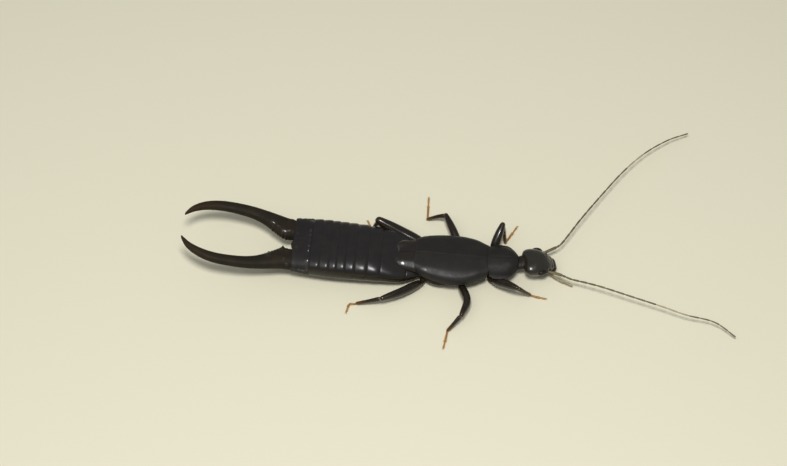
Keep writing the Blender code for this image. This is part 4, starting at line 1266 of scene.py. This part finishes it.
def addLeg(name, leg):
    look = limbLook
    hip, knee = Vector(leg["hip"]), Vector(leg["knee"])
    first, bend = (Vector(p) for p in leg["thigh"])
    side = 1 if hip.y > 0 else -1
    ankle = onFloor(leg["ankle"], look["ankleHeight"])
    toes = [onFloor(p, look["soleHeight"]) for p in leg["toes"]]
    piece = f"leg_{name}"

    # hip cone and second joint
    route = smoothRoute([hip - Vector((0, side * look["hipDepth"], 0)), hip, first], 8)
    limbPiece(f"{piece}_hip", route, look["hip"], "bellyShell", [f"{piece}_coxa"])
    steps = look["thighSteps"]
    thighRoute = smoothRoute([first, bend, knee], steps)
    start = (thighRoute[1] - thighRoute[0]).normalized()
    route = smoothRoute([first - start * 0.10, first + start * 0.16], 6)
    limbPiece(f"{piece}_second_joint", route, look["secondJoint"], "legShell")

    # thigh, flattened from the sides
    route = [thighRoute[0] + start * 0.10] + thighRoute[1:]
    wide, high = ([smoothAt(look[key], i / steps)[0] * leg.get("thick", 1.0) for i in range(steps + 1)]
                  for key in ("thighWide", "thighHigh"))
    limbPiece(f"{piece}_thigh", route, wide, "legShell", [f"{piece}_femur"], high, sides=24, power=2.15)

    # soft ring of the knee, pale as joint skin, its paleness also a painted highlight
    down = (ankle - knee).normalized()
    end = (knee - thighRoute[-2]).normalized()
    route = smoothRoute([knee - end * 0.02, knee + (end + down) * 0.08, knee + down * 0.20], 6)
    limbPiece(f"{piece}_knee_skin", route, look["kneeSkin"], "kneeSkin", sides=16)

    # shin
    steps = look["shinSteps"]
    bow = (knee + down * 0.12).lerp(ankle, 0.45) + Vector((0, side * 0.03, 0.03))
    route = smoothRoute([knee + down * 0.12, bow, ankle], steps)
    sizes = [smoothAt(look["shin"], i / steps)[0] for i in range(steps + 1)]
    heights = [size * look["shinDepth"] for size in sizes]
    limbPiece(f"{piece}_shin", route, sizes, "shinShell", [f"{piece}_tibia"], heights, sides=18, power=2.1)

    # foot: the second joint widens into a lobe under the third
    landed = ankle.lerp(toes[0], 0.24)
    landed.z = look["soleHeight"]
    route = smoothRoute([ankle + down * 0.02, landed] + toes, 60)
    places, sizes = jointedRings(route, look["footJoints"])
    heights = [min(size, look["soleHeight"] * 0.98) for size in sizes]
    limbPiece(f"{piece}_foot", places, sizes, "footShell", [f"{piece}_tarsus"], heights, sides=14, capSteps=2)
    addClaws(piece, route[-1], (route[-1] - route[-4]).normalized())


for name, leg in legLook.items():
    addLeg(name, leg)
print("legs made")


# Fine hairs: thin three-sided needles scattered over a piece
hairLook = {
    # pieces whose name starts so: how many on each, length and root radius in millimetres, lean, finish
    "feeler_left": (60, 0.050, 0.0045, (0.6, 0.5, 0.0), "hairPale"),
    "feeler_right": (60, 0.050, 0.0045, (0.8, -0.2, 0.0), "hairPale"),
    "palp": (70, 0.060, 0.0050, (0.6, -0.1, 0.0), "hairPale"),
    "head_capsule": (70, 0.100, 0.0055, (0.5, 0.0, 0.2), "hairDark"),
    "back_plate": (60, 0.090, 0.0055, (-0.8, 0.0, 0.1), "hairDark"),
    "belly_plate": (60, 0.110, 0.0060, (-0.8, 0.0, -0.1), "hairDark"),
    "last_back_ring": (70, 0.110, 0.0060, (-0.8, 0.0, 0.1), "hairDark"),
    "pincer": (110, 0.120, 0.0060, (-0.8, 0.0, 0.1), "hairDark"),
    "leg": (90, 0.090, 0.0055, (0.0, 0.0, -0.5), "hairPale"),
}
hairColours = {
    "hairPale": ((0.26, 0.17, 0.070), (0.18, 0.11, 0.045)),
    "hairDark": ((0.045, 0.030, 0.016), (0.030, 0.020, 0.011))}
# share of the length and of the root radius for each ring of a hair
hairShape = {"rings": ((-0.08, 1.0), (0.55, 0.7)), "stray": 0.25, "sizes": (0.6, 1.15), "droop": 0.06}
hairless = ("_hip", "_second_joint", "_knee_skin", "_claw_1", "_claw_2")
for name, (base, blotch) in hairColours.items():
    finishes[name] = makeShell(name, dict(
        commonShell, base=base, blotch=blotch, edge=blotch, blotches=4.0, cells=20.0, pitDepth=0.0, waves=0.2,
        relief=0.001, smooth=0.40, dull=0.55))


def addHairs(host, count, length, radius, lean, finish):
    # drawn from the points in the order of their places, since their own order differs from run to run;
    # the rounding's odd scale and shift keep points on round measures away from its steps
    points = sorted(host.data.vertices, key=lambda point: tuple(round(c * 9e5 + 0.123) for c in point.co))
    corners, faces = [], []
    for vertex in random.sample(points, min(count, len(points))):
        stray = Vector([random.uniform(-hairShape["stray"], hairShape["stray"]) for _ in range(3)])
        way = (vertex.normal + Vector(lean) + stray).normalized()
        if way.dot(vertex.normal) < 0.15 or vertex.co.z + way.z * length * mm < 0.02 * mm:
            continue
        size = length * random.uniform(*hairShape["sizes"]) * mm
        side = way.orthogonal().normalized()
        other, first = way.cross(side), len(corners)
        for share, width in hairShape["rings"]:
            for turn in (0, 120, 240):
                around = side * math.cos(math.radians(turn)) + other * math.sin(math.radians(turn))
                corners.append(vertex.co + way * size * share + around * radius * width * mm)
        corners.append(vertex.co + way * size + Vector((0, 0, -hairShape["droop"] * size)))
        for k in range(3):
            m = (k + 1) % 3
            faces.append((first + k, first + m, first + 3 + m, first + 3 + k))
            faces.append((first + 3 + k, first + 3 + m, first + 6))
        faces.append((first + 2, first + 1, first))
    clearSelection()
    mesh = bpy.data.meshes.new(f"hairs_{host.name}")
    mesh.from_pydata(corners, [], faces)
    hairs = bpy.data.objects.new(mesh.name, mesh)
    bpy.context.collection.objects.link(hairs)
    # each hair has a small square of its own in the map
    patches = mesh.uv_layers.new(name="OFBake")
    columns, patch, step = 240, 0.003, 0.0041
    for face in mesh.polygons:
        hair = face.index // 7
        corner = Vector((hair % columns, hair // columns)) * step
        for k, loop in enumerate(face.loop_indices):
            patches.data[loop].uv = corner + Vector(((0, 1, 1, 0)[k], (0, 0, 1, 1)[k])) * patch
    mesh.materials.append(finishes[finish])
    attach(hairs, "root")


def addAllHairs():
    hosts = [piece for piece in bpy.data.objects if piece.type == "MESH"]
    for start, look in hairLook.items():
        for host in hosts:
            hairy = host.name.startswith(start) and not host.name.endswith(hairless)
            if hairy and not host.hide_render:
                addHairs(host, *look)


addAllHairs()
print("hairs made")


# Floor and light
stageLook = {
    "floor": (0.83, 0.79, 0.60), "floorRoughness": 0.55, "size": 3.0,
    "sky": (0.95, 0.97, 1.0), "skyStrength": 0.25,
    # degrees round and up, millimetres away and across, watts
    "lights": {
        "keyLight": dict(turn=viewLook["azimuth"], rise=68.0, distance=170.0, size=34.0, power=0.187),
        "softLight": dict(turn=-45.0, rise=58.0, distance=260.0, size=170.0, power=0.085)},
}


def addStage():
    clearSelection()
    bpy.ops.mesh.primitive_plane_add(size=stageLook["size"], location=(0, 0, 0))
    floor = bpy.context.object
    floor.name = "floor"
    made = bpy.data.materials.new("paleFloor")
    made.use_nodes = True
    shader = made.node_tree.nodes["Principled BSDF"]
    shader.inputs["Base Color"].default_value = (*stageLook["floor"], 1.0)
    shader.inputs["Roughness"].default_value = stageLook["floorRoughness"]
    floor.data.materials.append(made)
    world = bpy.data.worlds.new("softRoom")
    world.use_nodes = True
    background = world.node_tree.nodes["Background"]
    background.inputs["Color"].default_value = (*stageLook["sky"], 1.0)
    background.inputs["Strength"].default_value = stageLook["skyStrength"]
    bpy.context.scene.world = world


def addLight(name, turn, rise, distance, size, power):
    bpy.ops.object.light_add(type="AREA", **aimed(turn, rise, distance))
    light = bpy.context.object
    light.name = name
    light.data.shape, light.data.size, light.data.energy = "DISK", size * mm, power


addStage()
for name, light in stageLook["lights"].items():
    addLight(name, **light)
bpy.context.scene.view_settings.view_transform = "Standard"
print("stage made")
